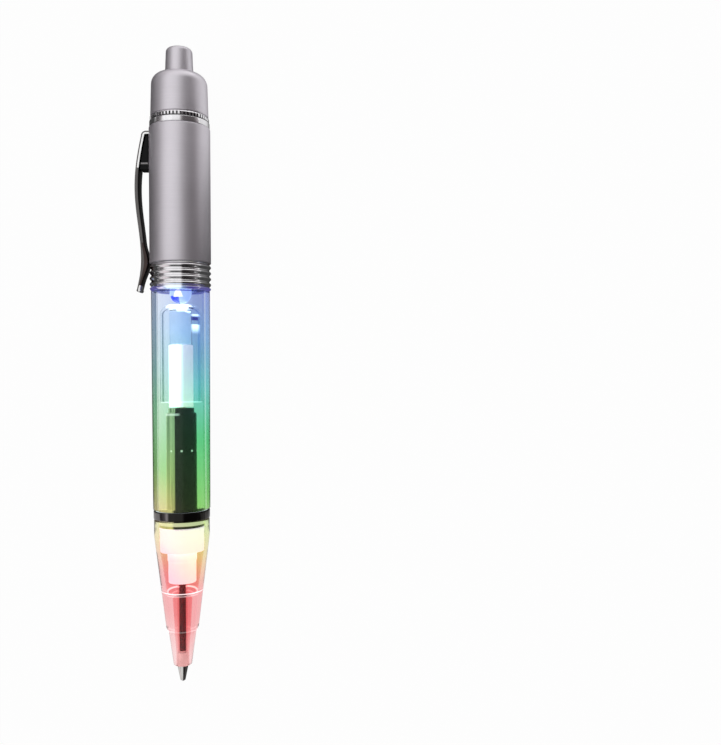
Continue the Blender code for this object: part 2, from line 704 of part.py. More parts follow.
def battery_stack():
    board_radius = BATTERY_BORE_RADIUS - FIT
    rod("circuit_board", board_radius, BOARD_BOTTOM, BOARD_BOTTOM + BOARD_THICKNESS, INNER_SIDES, BOARD_GREEN)
    contact_top = CONTACT_BOTTOM + CONTACT_THICKNESS
    rod("cell_contact", CONTACT_RADIUS, CONTACT_BOTTOM, contact_top, INNER_SIDES, NICKEL)
    for index in range(CELL_COUNT):
        bottom = CELLS_BOTTOM + index * (CELL_HEIGHT + SEAT)
        top = bottom + CELL_HEIGHT
        can_bottom = bottom + CELL_CAP_HEIGHT
        cell = [
            (0.0, top),
            (CELL_RADIUS - CELL_EDGE, top),
            (CELL_RADIUS, top - CELL_EDGE),
            (CELL_RADIUS, can_bottom),
            (CELL_CAP_RADIUS, can_bottom),
            (CELL_CAP_RADIUS, bottom),
            (0.0, bottom),
        ]
        turned(f"button_cell_{index + 1}", cell, INNER_SIDES, BRIGHT_CHROME)
    coil(
        "contact_spring",
        (CONTACT_SPRING_NARROW, CONTACT_SPRING_WIDE),
        CELLS_TOP + SEAT,
        SWITCH_BOTTOM - SEAT,
        CONTACT_SPRING_CURLS,
        CONTACT_WIRE_RADIUS,
        NICKEL,
    )


def cap_rings():
    bore = NECK_THREAD_BORE
    tube("collar_ring", COLLAR_RADIUS, bore, COLLAR_BOTTOM, COLLAR_TOP, OUTER_SIDES, BRIGHT_CHROME, COLLAR_EDGE)
    profile = [(bore, KNURL_TOP), (KNURL_RADIUS, KNURL_TOP), (KNURL_RADIUS, KNURL_BOTTOM), (bore, KNURL_BOTTOM)]
    mesh = spun("knurled_ring", profile, 2 * KNURL_TEETH)
    valley = (KNURL_RADIUS - KNURL_TOOTH_DEPTH) / KNURL_RADIUS
    for vertex in mesh.vertices:
        side = round(math.atan2(vertex.co.y, vertex.co.x) * KNURL_TEETH / math.pi - 0.5)
        if side % 2 and vertex.co.xy.length > (bore + KNURL_RADIUS) / 2:
            vertex.co.xy *= valley
    settle("knurled_ring", mesh, BRIGHT_CHROME)


def top_cap():
    shoulder = CAP_TOP - CAP_FILLET
    profile = [
        (BUTTON_HOLE, CAP_TOP),
        *arc(CAP_UPPER_RADIUS - CAP_FILLET, shoulder, CAP_FILLET, 90.0, 0.0, 5),
        (CAP_LOWER_RADIUS, CAP_BOTTOM),
        (NECK_THREAD_BORE, CAP_BOTTOM),
        (NECK_THREAD_BORE, CAP_STEP),
        (BUTTON_CHAMBER, CAP_STEP),
        (BUTTON_CHAMBER, CAP_CEILING),
        (BUTTON_HOLE, CAP_CEILING),
    ]
    turned("top_cap", profile, OUTER_SIDES, SATIN_GREY)


def push_button():
    crown = BUTTON_UPPER_RADIUS - BUTTON_FILLET
    profile = [
        (0.0, BUTTON_TOP),
        *arc(crown, BUTTON_TOP - BUTTON_FILLET, BUTTON_FILLET, 90.0, 0.0, 3),
        (BUTTON_LOWER_RADIUS, CAP_TOP),
        (BUTTON_LOWER_RADIUS, BUTTON_FLANGE_TOP),
        (BUTTON_FLANGE_RADIUS, BUTTON_FLANGE_TOP),
        (BUTTON_FLANGE_RADIUS, BUTTON_FLANGE_BOTTOM),
        (BUTTON_STEM_RADIUS, BUTTON_FLANGE_BOTTOM),
        (BUTTON_STEM_RADIUS, BUTTON_STEM_BOTTOM),
        (0.0, BUTTON_STEM_BOTTOM),
    ]
    turned("push_button", profile, OUTER_SIDES, SATIN_GREY)
    coil(
        "button_spring",
        (BUTTON_SPRING_RADIUS, BUTTON_SPRING_RADIUS),
        SWITCH_TOP + SEAT,
        BUTTON_FLANGE_BOTTOM - SEAT,
        BUTTON_SPRING_CURLS,
        BUTTON_WIRE_RADIUS,
        SPRING_STEEL,
    )


def push_switch():
    hole = PLUNGER_RADIUS + FIT
    plunger_bottom = PLUNGER_TOP - PLUNGER_LENGTH
    hole_bottom = plunger_bottom - BUTTON_TRAVEL - SEAT
    profile = [
        (0.0, hole_bottom),
        (hole, hole_bottom),
        (hole, SWITCH_TOP),
        (BUTTON_CHAMBER - FIT, SWITCH_TOP),
        (BUTTON_CHAMBER - FIT, SWITCH_FLANGE_TOP),
        (NECK_RADIUS, SWITCH_FLANGE_TOP),
        (NECK_RADIUS, SWITCH_FLANGE_BOTTOM),
        (SWITCH_RADIUS, SWITCH_FLANGE_BOTTOM),
        (SWITCH_RADIUS, SWITCH_BOTTOM),
        (0.0, SWITCH_BOTTOM),
    ]
    turned("switch_body", profile, INNER_SIDES, BLACK_PLASTIC)
    rod("switch_plunger", PLUNGER_RADIUS, plunger_bottom, PLUNGER_TOP, SMALL_SIDES, WHITE_PLASTIC)


def clip_standoff(drop):
    """How far the clip's outer face stands off the sleeve, at a distance below the sleeve's top."""
    if drop < CLIP_CREST_DROP:
        t = (drop - CLIP_HEAD_DROP) / (CLIP_CREST_DROP - CLIP_HEAD_DROP)
        return CLIP_HEAD_STANDOFF + (CLIP_CREST_STANDOFF - CLIP_HEAD_STANDOFF) * math.sin(t * math.pi / 2)
    if drop < CLIP_WAIST_DROP:
        t = (drop - CLIP_CREST_DROP) / (CLIP_WAIST_DROP - CLIP_CREST_DROP)
        return CLIP_CREST_STANDOFF + (CLIP_WAIST_STANDOFF - CLIP_CREST_STANDOFF) * (1 - math.cos(t * math.pi)) / 2
    t = (drop - CLIP_WAIST_DROP) / (CLIP_LIP_DROP - CLIP_WAIST_DROP)
    return CLIP_WAIST_STANDOFF + (CLIP_LIP_STANDOFF - CLIP_WAIST_STANDOFF) * (1 - math.cos(t * math.pi / 2))


def clip_underside(drop):
    """How far the clip's inner face stands off the sleeve, with the bead that grips at the waist."""
    bead = CLIP_WAIST_STANDOFF - CLIP_THICKNESS - CLIP_REST_GAP
    reach = (CLIP_LIP_DROP - CLIP_WAIST_DROP) / 2
    t = min(1.0, abs(drop - CLIP_WAIST_DROP) / reach)
    return clip_standoff(drop) - CLIP_THICKNESS - bead * math.cos(t * math.pi / 2) ** 2


def clip_drops():
    """Stations along the clip's leaf, from the end of its head's bend to its lip."""
    marks = (CLIP_HEAD_DROP + CLIP_HEAD_BEND, CLIP_CREST_DROP, CLIP_WAIST_DROP, CLIP_LIP_DROP)
    drops = []
    for start, end in zip(marks, marks[1:]):
        drops += [start + (end - start) * step / CLIP_STATIONS for step in range(CLIP_STATIONS)]
    return [*drops, CLIP_LIP_DROP]


def pocket_clip():
    """One bent strip: a tab into the sleeve's slot, then a leaf that bows out and comes back to grip."""
    drops = clip_drops()
    tab_under = CLIP_HEAD_DROP + CLIP_THICKNESS
    bend_end = clip_standoff(drops[0])
    bend = arc(bend_end - CLIP_HEAD_BEND, drops[0], CLIP_HEAD_BEND, -90.0, 0.0, CLIP_BEND_STATIONS)
    outer = [(-CLIP_TAB_DEPTH, CLIP_HEAD_DROP), *bend] + [(clip_standoff(drop), drop) for drop in drops[1:]]
    inner = [(clip_underside(drop), drop) for drop in reversed(drops)]
    outline = outer + inner + [(clip_underside(tab_under), tab_under), (-CLIP_TAB_DEPTH, tab_under)]
    shape = bmesh.new()
    rings = []
    for side in (-0.5, 0.5):
        ring = []
        for standoff, drop in outline:
            along = max(0.0, (drop - CLIP_HEAD_DROP) / (CLIP_LIP_DROP - CLIP_HEAD_DROP))
            width = CLIP_WIDTH + (CLIP_END_WIDTH - CLIP_WIDTH) * along
            ring.append(shape.verts.new((side * width, -standoff, SLEEVE_TOP - drop - CLIP_HINGE)))
        rings.append(ring)
        shape.faces.new(ring)
    for i in range(len(outline)):
        shape.faces.new((rings[0][i - 1], rings[0][i], rings[1][i], rings[1][i - 1]))
    hinge = (0.0, -SLEEVE_RADIUS, CLIP_HINGE)
    soften(settle("pocket_clip", mesh_of("pocket_clip", shape), SPRING_STEEL, hinge), CLIP_EDGE)


def clip_block():
    """The black block that fills the root of the clip and sits on the sleeve like a saddle."""
    top = CLIP_HEAD_DROP + CLIP_THICKNESS + CLIP_REST_GAP
    drops = [top + BLOCK_LENGTH * step / CLIP_STATIONS for step in range(CLIP_STATIONS + 1)]
    outline = [(clip_underside(drop) - CLIP_REST_GAP, drop) for drop in drops]
    outline += [(-SLEEVE_RADIUS / 2, drops[-1]), (-SLEEVE_RADIUS / 2, drops[0])]
    shape = bmesh.new()
    ring = [shape.verts.new((-BLOCK_WIDTH / 2, -SLEEVE_RADIUS - out, SLEEVE_TOP - drop)) for out, drop in outline]
    face = shape.faces.new(ring)
    grown = bmesh.ops.extrude_face_region(shape, geom=[face])["geom"]
    moved = [part for part in grown if isinstance(part, bmesh.types.BMVert)]
    bmesh.ops.translate(shape, vec=(BLOCK_WIDTH, 0.0, 0.0), verts=moved)
    block = settle("clip_block", mesh_of("clip_block", shape), BLACK_PLASTIC)
    bed = SLEEVE_RADIUS + FIT
    bed_top, bed_bottom = SLEEVE_TOP + SLEEVE_RADIUS, SLEEVE_BOTTOM - SLEEVE_RADIUS
    profile = [(0.0, bed_top), (bed, bed_top), (bed, bed_bottom), (0.0, bed_bottom)]
    cut(block, cutter("sleeve_bed", spun("sleeve_bed", profile, OUTER_SIDES)))


for leftover in list(bpy.data.objects):
    bpy.data.objects.remove(leftover, do_unlink=True)

# The pen lies on its metal sleeve, with one flat of the sleeve on the table under the origin
pen_axis = bpy.data.objects.new("pen_axis", None)
bpy.context.scene.collection.objects.link(pen_axis)
pen_axis.location = ((SLEEVE_BOTTOM + SLEEVE_TOP) / 2, 0.0, SLEEVE_RADIUS * math.cos(math.pi / OUTER_SIDES))
pen_axis.rotation_euler = (0.0, -math.pi / 2, 0.0)

writing_ball()
writing_point()
refill()
nose_cone()
joint_ring()
refill_sleeve()
refill_holder()
clear_barrel()
light_column()
light_capsule()
led_lamp()
ribbed_ring()
tab_slot = clip_slot()
metal_sleeve(tab_slot)
battery_tube(tab_slot)
battery_stack()
cap_rings()
top_cap()
push_button()
push_switch()
pocket_clip()
clip_block()
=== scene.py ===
"""Dresses the light-up pen: finer turned pieces, the clip, the finishes, the stage and the camera.

Profiles are in millimetres: a radius from the pen's axis and a height above the tip of the writing ball.
"""

from math import cos, pi, radians, sin, tan, tau

import bmesh
import bpy
from bpy.props import FloatProperty, FloatVectorProperty, IntProperty, PointerProperty
from bpy.types import Operator, Panel, PropertyGroup
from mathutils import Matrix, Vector


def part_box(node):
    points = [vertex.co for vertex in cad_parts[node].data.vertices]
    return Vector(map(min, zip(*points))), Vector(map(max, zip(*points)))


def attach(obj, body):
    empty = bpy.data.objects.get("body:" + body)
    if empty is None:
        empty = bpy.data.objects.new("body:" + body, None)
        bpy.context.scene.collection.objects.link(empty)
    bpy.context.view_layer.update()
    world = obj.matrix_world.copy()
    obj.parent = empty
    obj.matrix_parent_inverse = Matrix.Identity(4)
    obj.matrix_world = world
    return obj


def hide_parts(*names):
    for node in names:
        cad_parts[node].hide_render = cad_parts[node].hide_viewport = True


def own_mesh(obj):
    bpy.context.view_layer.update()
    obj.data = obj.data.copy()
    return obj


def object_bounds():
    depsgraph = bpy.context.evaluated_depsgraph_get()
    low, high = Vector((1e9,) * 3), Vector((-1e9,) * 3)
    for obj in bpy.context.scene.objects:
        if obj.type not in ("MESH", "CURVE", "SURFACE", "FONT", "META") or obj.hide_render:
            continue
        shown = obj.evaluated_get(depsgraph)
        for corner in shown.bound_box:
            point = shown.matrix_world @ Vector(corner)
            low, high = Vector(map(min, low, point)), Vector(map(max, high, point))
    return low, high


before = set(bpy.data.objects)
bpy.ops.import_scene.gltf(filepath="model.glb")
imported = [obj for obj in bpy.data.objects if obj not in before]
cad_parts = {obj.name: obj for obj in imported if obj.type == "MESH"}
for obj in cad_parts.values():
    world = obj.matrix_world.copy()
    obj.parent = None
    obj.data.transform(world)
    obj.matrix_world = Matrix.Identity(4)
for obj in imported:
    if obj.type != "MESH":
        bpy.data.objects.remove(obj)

bl_info = {
    "name": "Light-up pen",
    "version": (1, 0, 0),
    "blender": (4, 5, 0),
    "location": "3D View > Sidebar > Pen",
    "description": "Dresses the light-up pen and sets its stage",
    "category": "Object",
}

MM = 0.001
DEGREES = 180.0 / pi
SHARP = radians(40.0)
DARK = (0.0, 0.0, 0.0)
WHITE = (1.0, 1.0, 1.0)
CAD_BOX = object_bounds()
TIP_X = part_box("writing_ball")[1].x
AXIS_Z = (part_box("metal_sleeve")[0].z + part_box("metal_sleeve")[1].z) / 2
FLAT = cos(pi / 32)  # the solids are turned with 32 flats, and the dressed pieces stay inside those

# radii in millimetres
SLEEVE = 7.0
CAP_BORE = 5.5
BARREL_BORE = 5.4
REFILL_HOLE = 1.375
BALL = 0.45

# distances below the clip's head in millimetres
CREST, WAIST, LIP = 13.0, 29.5, 36.9  # where it stands out most, is nearest the pen and ends
PAINTED_HIGHLIGHT_END, PAINTED_SHADE_START, LIP_PAINTED_HIGHLIGHT = 8.2, 25.5, LIP - 1.9  # where the painted highlight on its sides ends, where painted shade starts, and where the painted highlight comes back


def span(node):
    """The lower and the upper height of a solid."""
    low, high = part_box(node)
    return (TIP_X - high.x) / MM, (TIP_X - low.x) / MM


def colour(name, description, default):
    """A colour that a user can change."""
    limits = {"size": 3, "min": 0.0, "max": 1.0}
    return FloatVectorProperty(name=name, description=description, default=default, subtype="COLOR", **limits)


def amount(name, description, default, **kind):
    """A number that a user can change."""
    return FloatProperty(name=name, description=description, default=default, **kind)


def length(name, description, default, **limits):
    """A size that a user can change, in metres."""
    return amount(name, description, default, unit="LENGTH", precision=5, **limits)


def count(name, description, default, least):
    """A number of things that a user can change."""
    return IntProperty(name=name, description=description, default=default, min=least)


class PenShape(PropertyGroup):
    """Sizes of the dressed pieces."""

    segments: count("Segments", "Sides of the outer turned pieces", 112, 24)
    inner_segments: count("Inner segments", "Sides of the inner pieces", 64, 16)
    teeth: count("Teeth", "Teeth round the ring under the cap", 52, 12)
    tooth_depth: length("Tooth depth", "Depth of the teeth round the ring under the cap", 0.00042, min=0.0)
    rib_depth: length("Rib depth", "Depth of the grooves in the ribbed band", 0.00040, min=0.0)
    rib_pitch: length("Rib pitch", "Distance between the ribs of the band", 0.00133, min=0.0)
    clip_edge: length("Clip edge", "Rounding of the clip's long edges", 0.00018, min=0.0)
    press: length("Press", "How far the button and its spring go down", 0.0016, min=0.0)


class PenColours(PropertyGroup):
    """Colours of the finishes and of the light inside the pen."""

    satin: colour("Satin grey", "Blasted grey metal of sleeve, cap and button", (0.80, 0.765, 0.815))
    chrome: colour("Bright chrome", "Plating of the bright rings", (0.90, 0.89, 0.91))
    dark_chrome: colour("Dark chrome", "Plating of the dark ring and sleeve", (0.055, 0.052, 0.048))
    steel: colour("Clip steel", "Metal of the pocket clip", (0.135, 0.128, 0.126))
    nickel: colour("Nickel silver", "Metal of the writing point", (0.88, 0.86, 0.83))
    white: colour("White plastic", "Rod, holder and lamp seat", (0.90, 0.89, 0.87))
    black: colour("Black plastic", "Block under the clip", (0.006, 0.006, 0.0065))
    ink: colour("Ink", "Ink inside the refill", (0.17, 0.006, 0.010))
    refill: colour("Refill tube", "Clear wall of the refill", (0.92, 0.70, 0.70))
    lamp_blue: colour("Lamp blue", "Light beside the lamp", (0.60, 0.65, 0.93))
    sky_blue: colour("Sky blue", "Light on the upper barrel", (0.53, 0.73, 0.94))
    aqua: colour("Aqua", "Light half way down the barrel", (0.41, 0.76, 0.75))
    green: colour("Green", "Light on the lower barrel", (0.32, 0.76, 0.47))
    lime: colour("Lime", "Light at the foot of the barrel", (0.49, 0.79, 0.395))
    yellow: colour("Yellow", "Light at the joint", (0.71, 0.80, 0.42))
    amber: colour("Amber", "Light on the nose's mouth", (0.87, 0.72, 0.42))
    rose: colour("Rose", "Light on the nose", (0.91, 0.41, 0.42))
    blush: colour("Blush", "Light on the nose's end", (0.95, 0.66, 0.66))


class PenStage(PropertyGroup):
    """Camera, lamp and floor."""

    lens: amount("Lens", "Focal length in millimetres", 41.07, subtype="DISTANCE_CAMERA")
    height: length("Camera height", "Height of the camera above the pen's axis", 0.1965, min=0.0)
    along: length("Along", "Camera's place along the pen", 0.040925)
    aside: length("Aside", "Camera's place beside the pen", 0.04147)
    roll: amount("Roll", "Roll of the camera", radians(-0.36), subtype="ANGLE")
    key_power: amount("Key lamp", "Power of the soft key lamp", 0.2, unit="POWER")
    floor: colour("Floor", "Plain pale floor", (0.90, 0.90, 0.90))
    floor_glow: amount("Floor glow", "Share of white in the floor as seen", 0.97, subtype="FACTOR")


class Shade:
    """A value that varies over a surface: a socket whose sums add Math nodes."""

    def __init__(self, paint, socket):
        self.paint, self.socket = paint, socket

    def maths(self, operation, first, second=0.0):
        return self.paint.node("ShaderNodeMath", {"operation": operation}, {0: first, 1: second})

    def __add__(self, other):
        return self.maths("ADD", self, other)

    def __sub__(self, other):
        return self.maths("SUBTRACT", self, other)

    def __rsub__(self, other):
        return self.maths("SUBTRACT", other, self)

    def __mul__(self, other):
        return self.maths("MULTIPLY", self, other)

    def __truediv__(self, other):
        return self.maths("DIVIDE", self, other)

    def __rtruediv__(self, other):
        return self.maths("DIVIDE", other, self)

    def __pow__(self, other):
        return self.maths("POWER", self, other)

    def __rpow__(self, other):
        return self.maths("POWER", other, self)

    def __abs__(self):
        return self.maths("ABSOLUTE", self)

    __radd__ = __add__
    __rmul__ = __mul__

    def either(self, other):
        return self.maths("MAXIMUM", self, other)

    def step(self, low, high, bottom=0.0, top=1.0):
        """Smoothly from bottom at low to top at high."""
        values = {"Value": self, "From Min": low, "From Max": high, "To Min": bottom, "To Max": top}
        return self.paint.node("ShaderNodeMapRange", {"interpolation_type": "SMOOTHSTEP"}, values)

    def fall(self, low, high):
        """Smoothly from 1 at low to 0 at high."""
        return self.step(low, high, 1.0, 0.0)

    def close(self, middle, full, none):
        """1 up to a distance from a middle value, and 0 beyond a longer one."""
        return abs(self - middle).fall(full, none)


class Paint:
    """A node tree and the nodes that a finish is made from."""

    def __init__(self, tree):
        self.tree = tree

    def node(self, kind, settings=None, values=None, output=0):
        """Add a node: its settings first, then what its sockets hold. Gives one of its outputs."""
        made = self.tree.nodes.new(kind)
        for key, value in (settings or {}).items():
            if key == "stops":
                ramp = made.color_ramp.elements
                while len(ramp) < len(value):
                    ramp.new(0.5)
                for element, (place, shade) in zip(ramp, value):
                    element.position, element.color = place, (*shade, 1.0)
            else:
                setattr(made, key, value)
        for key, value in (values or {}).items():
            self.feed(made.inputs[key], value)
        return Shade(self, made.outputs[output])

    def feed(self, socket, value):
        if isinstance(value, Shade):
            self.tree.links.new(value.socket, socket)
        elif socket.type == "RGBA" and len(value) == 3:
            socket.default_value = (*value, 1.0)
        else:
            socket.default_value = value

    def place(self):
        """The place on the piece, in the pen's frame."""
        return self.node("ShaderNodeTexCoord", output="Object")

    def along(self, axis):
        """One coordinate of the place in millimetres: X as the height above the tip, Y or Z from the axis."""
        part = self.node("ShaderNodeSeparateXYZ", None, {0: self.place()}, "XYZ".index(axis))
        offset = {"X": TIP_X, "Y": 0.0, "Z": AXIS_Z}[axis]
        return (offset - part) / MM if axis == "X" else (part - offset) / MM

    def reach(self):
        """The distance from the pen's axis, in millimetres."""
        aside, above = self.along("Y"), self.along("Z")
        return (aside * aside + above * above) ** 0.5

    def turn(self):
        """The angle round the pen's axis in degrees: 0 at the top and negative towards the clip."""
        aside, above = self.along("Y"), self.along("Z")
        return aside.maths("ARCTAN2", aside, above) * DEGREES

    def grain(self, stretch, detail=2.0):
        """Noise whose features are as many to the millimetre as stretch says for each axis."""
        factors = {0: self.place(), 1: [part / MM for part in stretch]}
        spread = self.node("ShaderNodeVectorMath", {"operation": "MULTIPLY"}, factors)
        values = {"Vector": spread, "Scale": 1.0, "Detail": detail, "Roughness": 0.55}
        return self.node("ShaderNodeTexNoise", None, values)

    def mixed(self, share, first, second, blend="MIX"):
        """A colour between two others."""
        settings = {"data_type": "RGBA", "blend_type": blend}
        return self.node("ShaderNodeMix", settings, {0: share, 6: first, 7: second}, 2)

    def mottled(self, value, shade, dark, light, low=0.3, high=0.7):
        """A colour made darker where a value is low and lighter where it is high."""
        return self.mixed(value.step(low, high), scaled(shade, dark), scaled(shade, light))

    def polish(self, shade):
        """Polishing lines, a faint haze, a plating's colour under that haze, and the lines' normal."""
        lines = self.grain((22.0, 0.25, 0.25))
        haze = self.grain((0.35, 0.35, 0.35), 3.0)
        plate = self.mixed(haze.step(0.35, 0.75), shade, scaled(shade, 0.86))
        return lines, haze, plate, self.bump(lines, 0.004, 0.4)

    def grey(self, value):
        """A grey of a varying lightness."""
        return self.node("ShaderNodeCombineColor", None, {0: value, 1: value, 2: value})

    def ramp(self, value, stops):
        return self.node("ShaderNodeValToRGB", {"stops": stops}, {0: value})

    def bump(self, height, distance, strength):
        """A normal for relief of some distance in millimetres."""
        values = {"Height": height, "Distance": distance * MM, "Strength": strength}
        return self.node("ShaderNodeBump", None, values)

    def ray(self, kind):
        """1 for rays of a kind, such as those from the camera."""
        return self.node("ShaderNodeLightPath", output=f"Is {kind} Ray")


class Finish(Paint):
    """A material with one Principled shader."""

    def __init__(self, name):
        self.material = bpy.data.materials.new(name)
        self.material.use_nodes = True
        super().__init__(self.material.node_tree)
        self.shader = self.tree.nodes["Principled BSDF"]

    def wear(self, **sockets):
        """Set the shader's inputs, whose names are written with underscores, and give the material."""
        for name, value in sockets.items():
            self.feed(self.shader.inputs[name.replace("_", " ").title().replace("Ior", "IOR")], value)
        return self.material


def scaled(shade, factor):
    """A colour made darker or lighter."""
    return tuple(min(1.0, part * factor) for part in shade)


def satin_finish(name, shade):
    """Blasted grey metal: fine grain, faint turning lines, slight handling marks."""
    paint = Finish(name)
    grit = paint.grain((9.0, 9.0, 9.0), 3.0)
    turning = paint.grain((14.0, 0.12, 0.12))
    cloud = paint.grain((0.10, 0.16, 0.16), 3.0)
    tone = 0.35 * grit + 0.25 * turning + 0.40 * cloud
    return paint.wear(
        base_color=paint.mottled(tone, shade, 0.93, 1.07, 0.25, 0.75),
        metallic=1.0,
        roughness=0.44 + 0.06 * cloud + 0.05 * grit,
        normal=paint.bump(grit + 0.5 * turning, 0.010, 0.5),
    )


def plated_finish(name, shade, gloss, brim=None):
    """Chrome plating with polishing lines and faint haze, and painted shade in the gaps between teeth below a
    brim.
    """
    paint = Finish(name)
    lines, haze, plate, relief = paint.polish(shade)
    if brim:
        # painted shade: the gaps between the teeth are darkened below the brim
        gap = paint.reach().fall(6.45, 6.65) * paint.along("X").fall(brim - 0.04, brim)
        plate = paint.mixed(gap, plate, scaled(shade, 0.2))
    return paint.wear(
        base_color=plate,
        metallic=1.0,
        roughness=gloss + 0.06 * haze + 0.04 * lines,
        normal=relief,
    )


def steel_finish(name, shade):
    """Drawn steel strip: lines along the strip and bright patches of wear."""
    paint = Finish(name)
    drawn = paint.grain((0.30, 16.0, 16.0))
    wear_and_painted_highlight = paint.grain((0.25, 0.6, 0.6), 3.0)
    return paint.wear(
        base_color=paint.mottled(wear_and_painted_highlight, shade, 0.88, 1.18, 0.3, 0.8),
        metallic=1.0,
        roughness=0.16 + 0.12 * wear_and_painted_highlight + 0.05 * drawn,
        normal=paint.bump(drawn, 0.006, 0.4),
    )


def moulded_finish(name, shade, roughness=0.42):
    """Moulded plastic with a fine spark-eroded texture and a slight unevenness of tone."""
    paint = Finish(name)
    texture = paint.grain((11.0, 11.0, 11.0))
    cloud = paint.grain((0.3, 0.3, 0.3))
    return paint.wear(
        base_color=paint.mottled(cloud, shade, 0.90, 1.06),
        roughness=roughness - 0.06 + 0.12 * texture,
        normal=paint.bump(texture, 0.012, 0.5),
    )


def glow_ramp(paint, height, colours):
    """The colours that the light takes down the pen, from the tip up."""
    stops = [(4.0, colours.blush), (13.0, colours.rose), (21.0, colours.rose), (29.0, colours.amber)]
    stops += [(35.5, colours.yellow), (41.0, colours.lime), (56.0, colours.green), (68.0, colours.aqua)]
    stops += [(79.0, colours.sky_blue), (91.0, colours.lamp_blue)]
    return paint.ramp(height / 100.0, [(place / 100.0, tuple(shade)) for place, shade in stops])


def lit_clear_finish(name, colours, glows, slant, pale, painted_edge_shade, painted_shadow_height, painted_rim_highlights):
    """Clear plastic lit from inside, with painted light: the colours run down the pen, lower by a slant, and
    paler by the clip as painted light.

    Glows are how much painted glow, which stands for the lamp's light, it has away from the clip and by it.
    Pale is how much paler, as painted light, it is low and high on the pen, and high up the far side is
    darker as painted shade. A painted dark edge darkens both sides as painted shade, and a painted shadow
    line runs round at a given height. A rim, given as a distance from the axis, a half width, a height and a
    strength, is a painted highlight.
    """
    paint = Finish(name)
    height, reach = paint.along("X"), paint.reach()
    aside, turn = paint.along("Y"), paint.turn()
    clipward = aside.fall(-5.0, 5.0)
    scratches = paint.grain((0.4, 14.0, 14.0))
    tint = glow_ramp(paint, height - slant * clipward * height.step(60.0, 76.0, 1.0, 0.4), colours)
    # painted light: the plastic is paler by the clip
    soft = paint.mixed(clipward * height.step(46.0, 66.0, *pale), tint, (0.97, 0.96, 0.95))
    # painted shade: the far side is darker high up
    soft = paint.mixed(0.2 * aside.step(0.0, 4.0) * height.step(66.0, 78.0), soft, (0.10, 0.12, 0.16))
    # painted shade: a dark edge along both sides of the barrel, darker still on the clip's side
    wall = painted_edge_shade * reach.step(5.8, 6.2)
    near, far = turn.close(-75.0, 11.0, 17.0), turn.close(105.0, 14.0, 20.0)
    deep = paint.mixed(1.0, tint, tint, "MULTIPLY")
    soft = paint.mixed(wall * near.either(far), soft, deep, "MULTIPLY")
    soft = paint.mixed(wall * near * height.step(58.0, 74.0, 0.7, 0.85), soft, DARK)
    # painted glow standing for the lamp's light, stronger by the clip
    light = paint.mixed(aside.step(-5.0, -2.0, *reversed(glows)), DARK, tint)
    # painted highlights: bright rings at the given radii and heights
    for radius, width, place, strength in painted_rim_highlights:
        painted_catchlight = reach.close(radius, width, width + 0.1) * height.close(place, 0.06, 0.22)
        light = paint.mixed(strength * painted_catchlight, light, (0.85, 1.0, 1.0))
    # painted shadow: a dark blue line runs round the plastic at the given height
    return paint.wear(
        base_color=paint.mixed(abs(height - painted_shadow_height).step(0.10, 0.22, 0.9, 0.0), soft, (0.10, 0.12, 0.50)),
        roughness=0.015 + 0.03 * scratches,
        ior=1.47,
        specular_tint=(0.35, 0.35, 0.35),
        transmission_weight=1.0,
        emission_color=light,
        emission_strength=1.6,
    )


def glowing_finish(name, shade, stops, heights, strength, painted_far_shade=None):
    """White plastic whose glow changes colour over some heights: the lamp's own light on its cup and chip,
    and on the rod and holder a painted glow that stands for the lamp's light. Given a darker colour, the glow
    turns to it away from the clip as painted shade.
    """
    paint = Finish(name)
    low, high = heights
    height = (paint.along("X") - low) / (high - low)
    mottle = paint.grain((0.5, 0.5, 0.5))
    glow = paint.ramp(height, stops)
    # painted shade: the glow turns darker away from the clip
    if painted_far_shade:
        glow = paint.mixed(paint.along("Y").step(-0.2, 1.3), glow, painted_far_shade)
    return paint.wear(
        base_color=paint.mottled(mottle, shade, 0.96, 1.04),
        roughness=0.36 + 0.12 * mottle,
        emission_color=glow,
        emission_strength=strength,
    )


def lit_chrome_finish(colours, foot):
    """Chrome whose foot has a painted reflection of the lamp's light: blue towards the clip and pale in the
    middle.
    """
    paint = Finish("lamp_lit_chrome")
    lines, haze, plate, relief = paint.polish(colours.chrome)
    # painted reflection of the lamp's light on the foot
    painted_catchlight = paint.along("X").fall(foot + 0.45, foot + 0.9)
    middle = paint.along("Y").close(-0.2, 0.6, 3.6)
    blue = paint.mixed(middle, (0.06, 0.05, 0.30), (0.36, 0.62, 0.90))
    return paint.wear(
        base_color=plate,
        metallic=1.0,
        roughness=0.07 + 0.05 * haze + 0.03 * lines,
        normal=relief,
        emission_color=paint.mixed(painted_catchlight, DARK, blue),
        emission_strength=0.8,
    )


def pipe_finish():
    """Clear plastic with faint flow lines, darker along its far side as painted shade, with a faint painted
    glow.
    """
    paint = Finish("clear_pipe")
    flow = paint.grain((0.5, 2.0, 2.0), 3.0)
    clear = paint.mixed(flow.step(0.3, 0.7), (0.80, 0.89, 0.98), (0.88, 0.94, 1.0))
    # painted shade along the far side, and a faint painted glow
    return paint.wear(
        base_color=paint.mixed(paint.along("Y").step(2.38, 2.50), clear, (0.30, 0.33, 0.42)),
        roughness=0.05 + 0.03 * flow,
        ior=1.2,
        transmission_weight=1.0,
        emission_color=clear,
        emission_strength=0.04,
    )


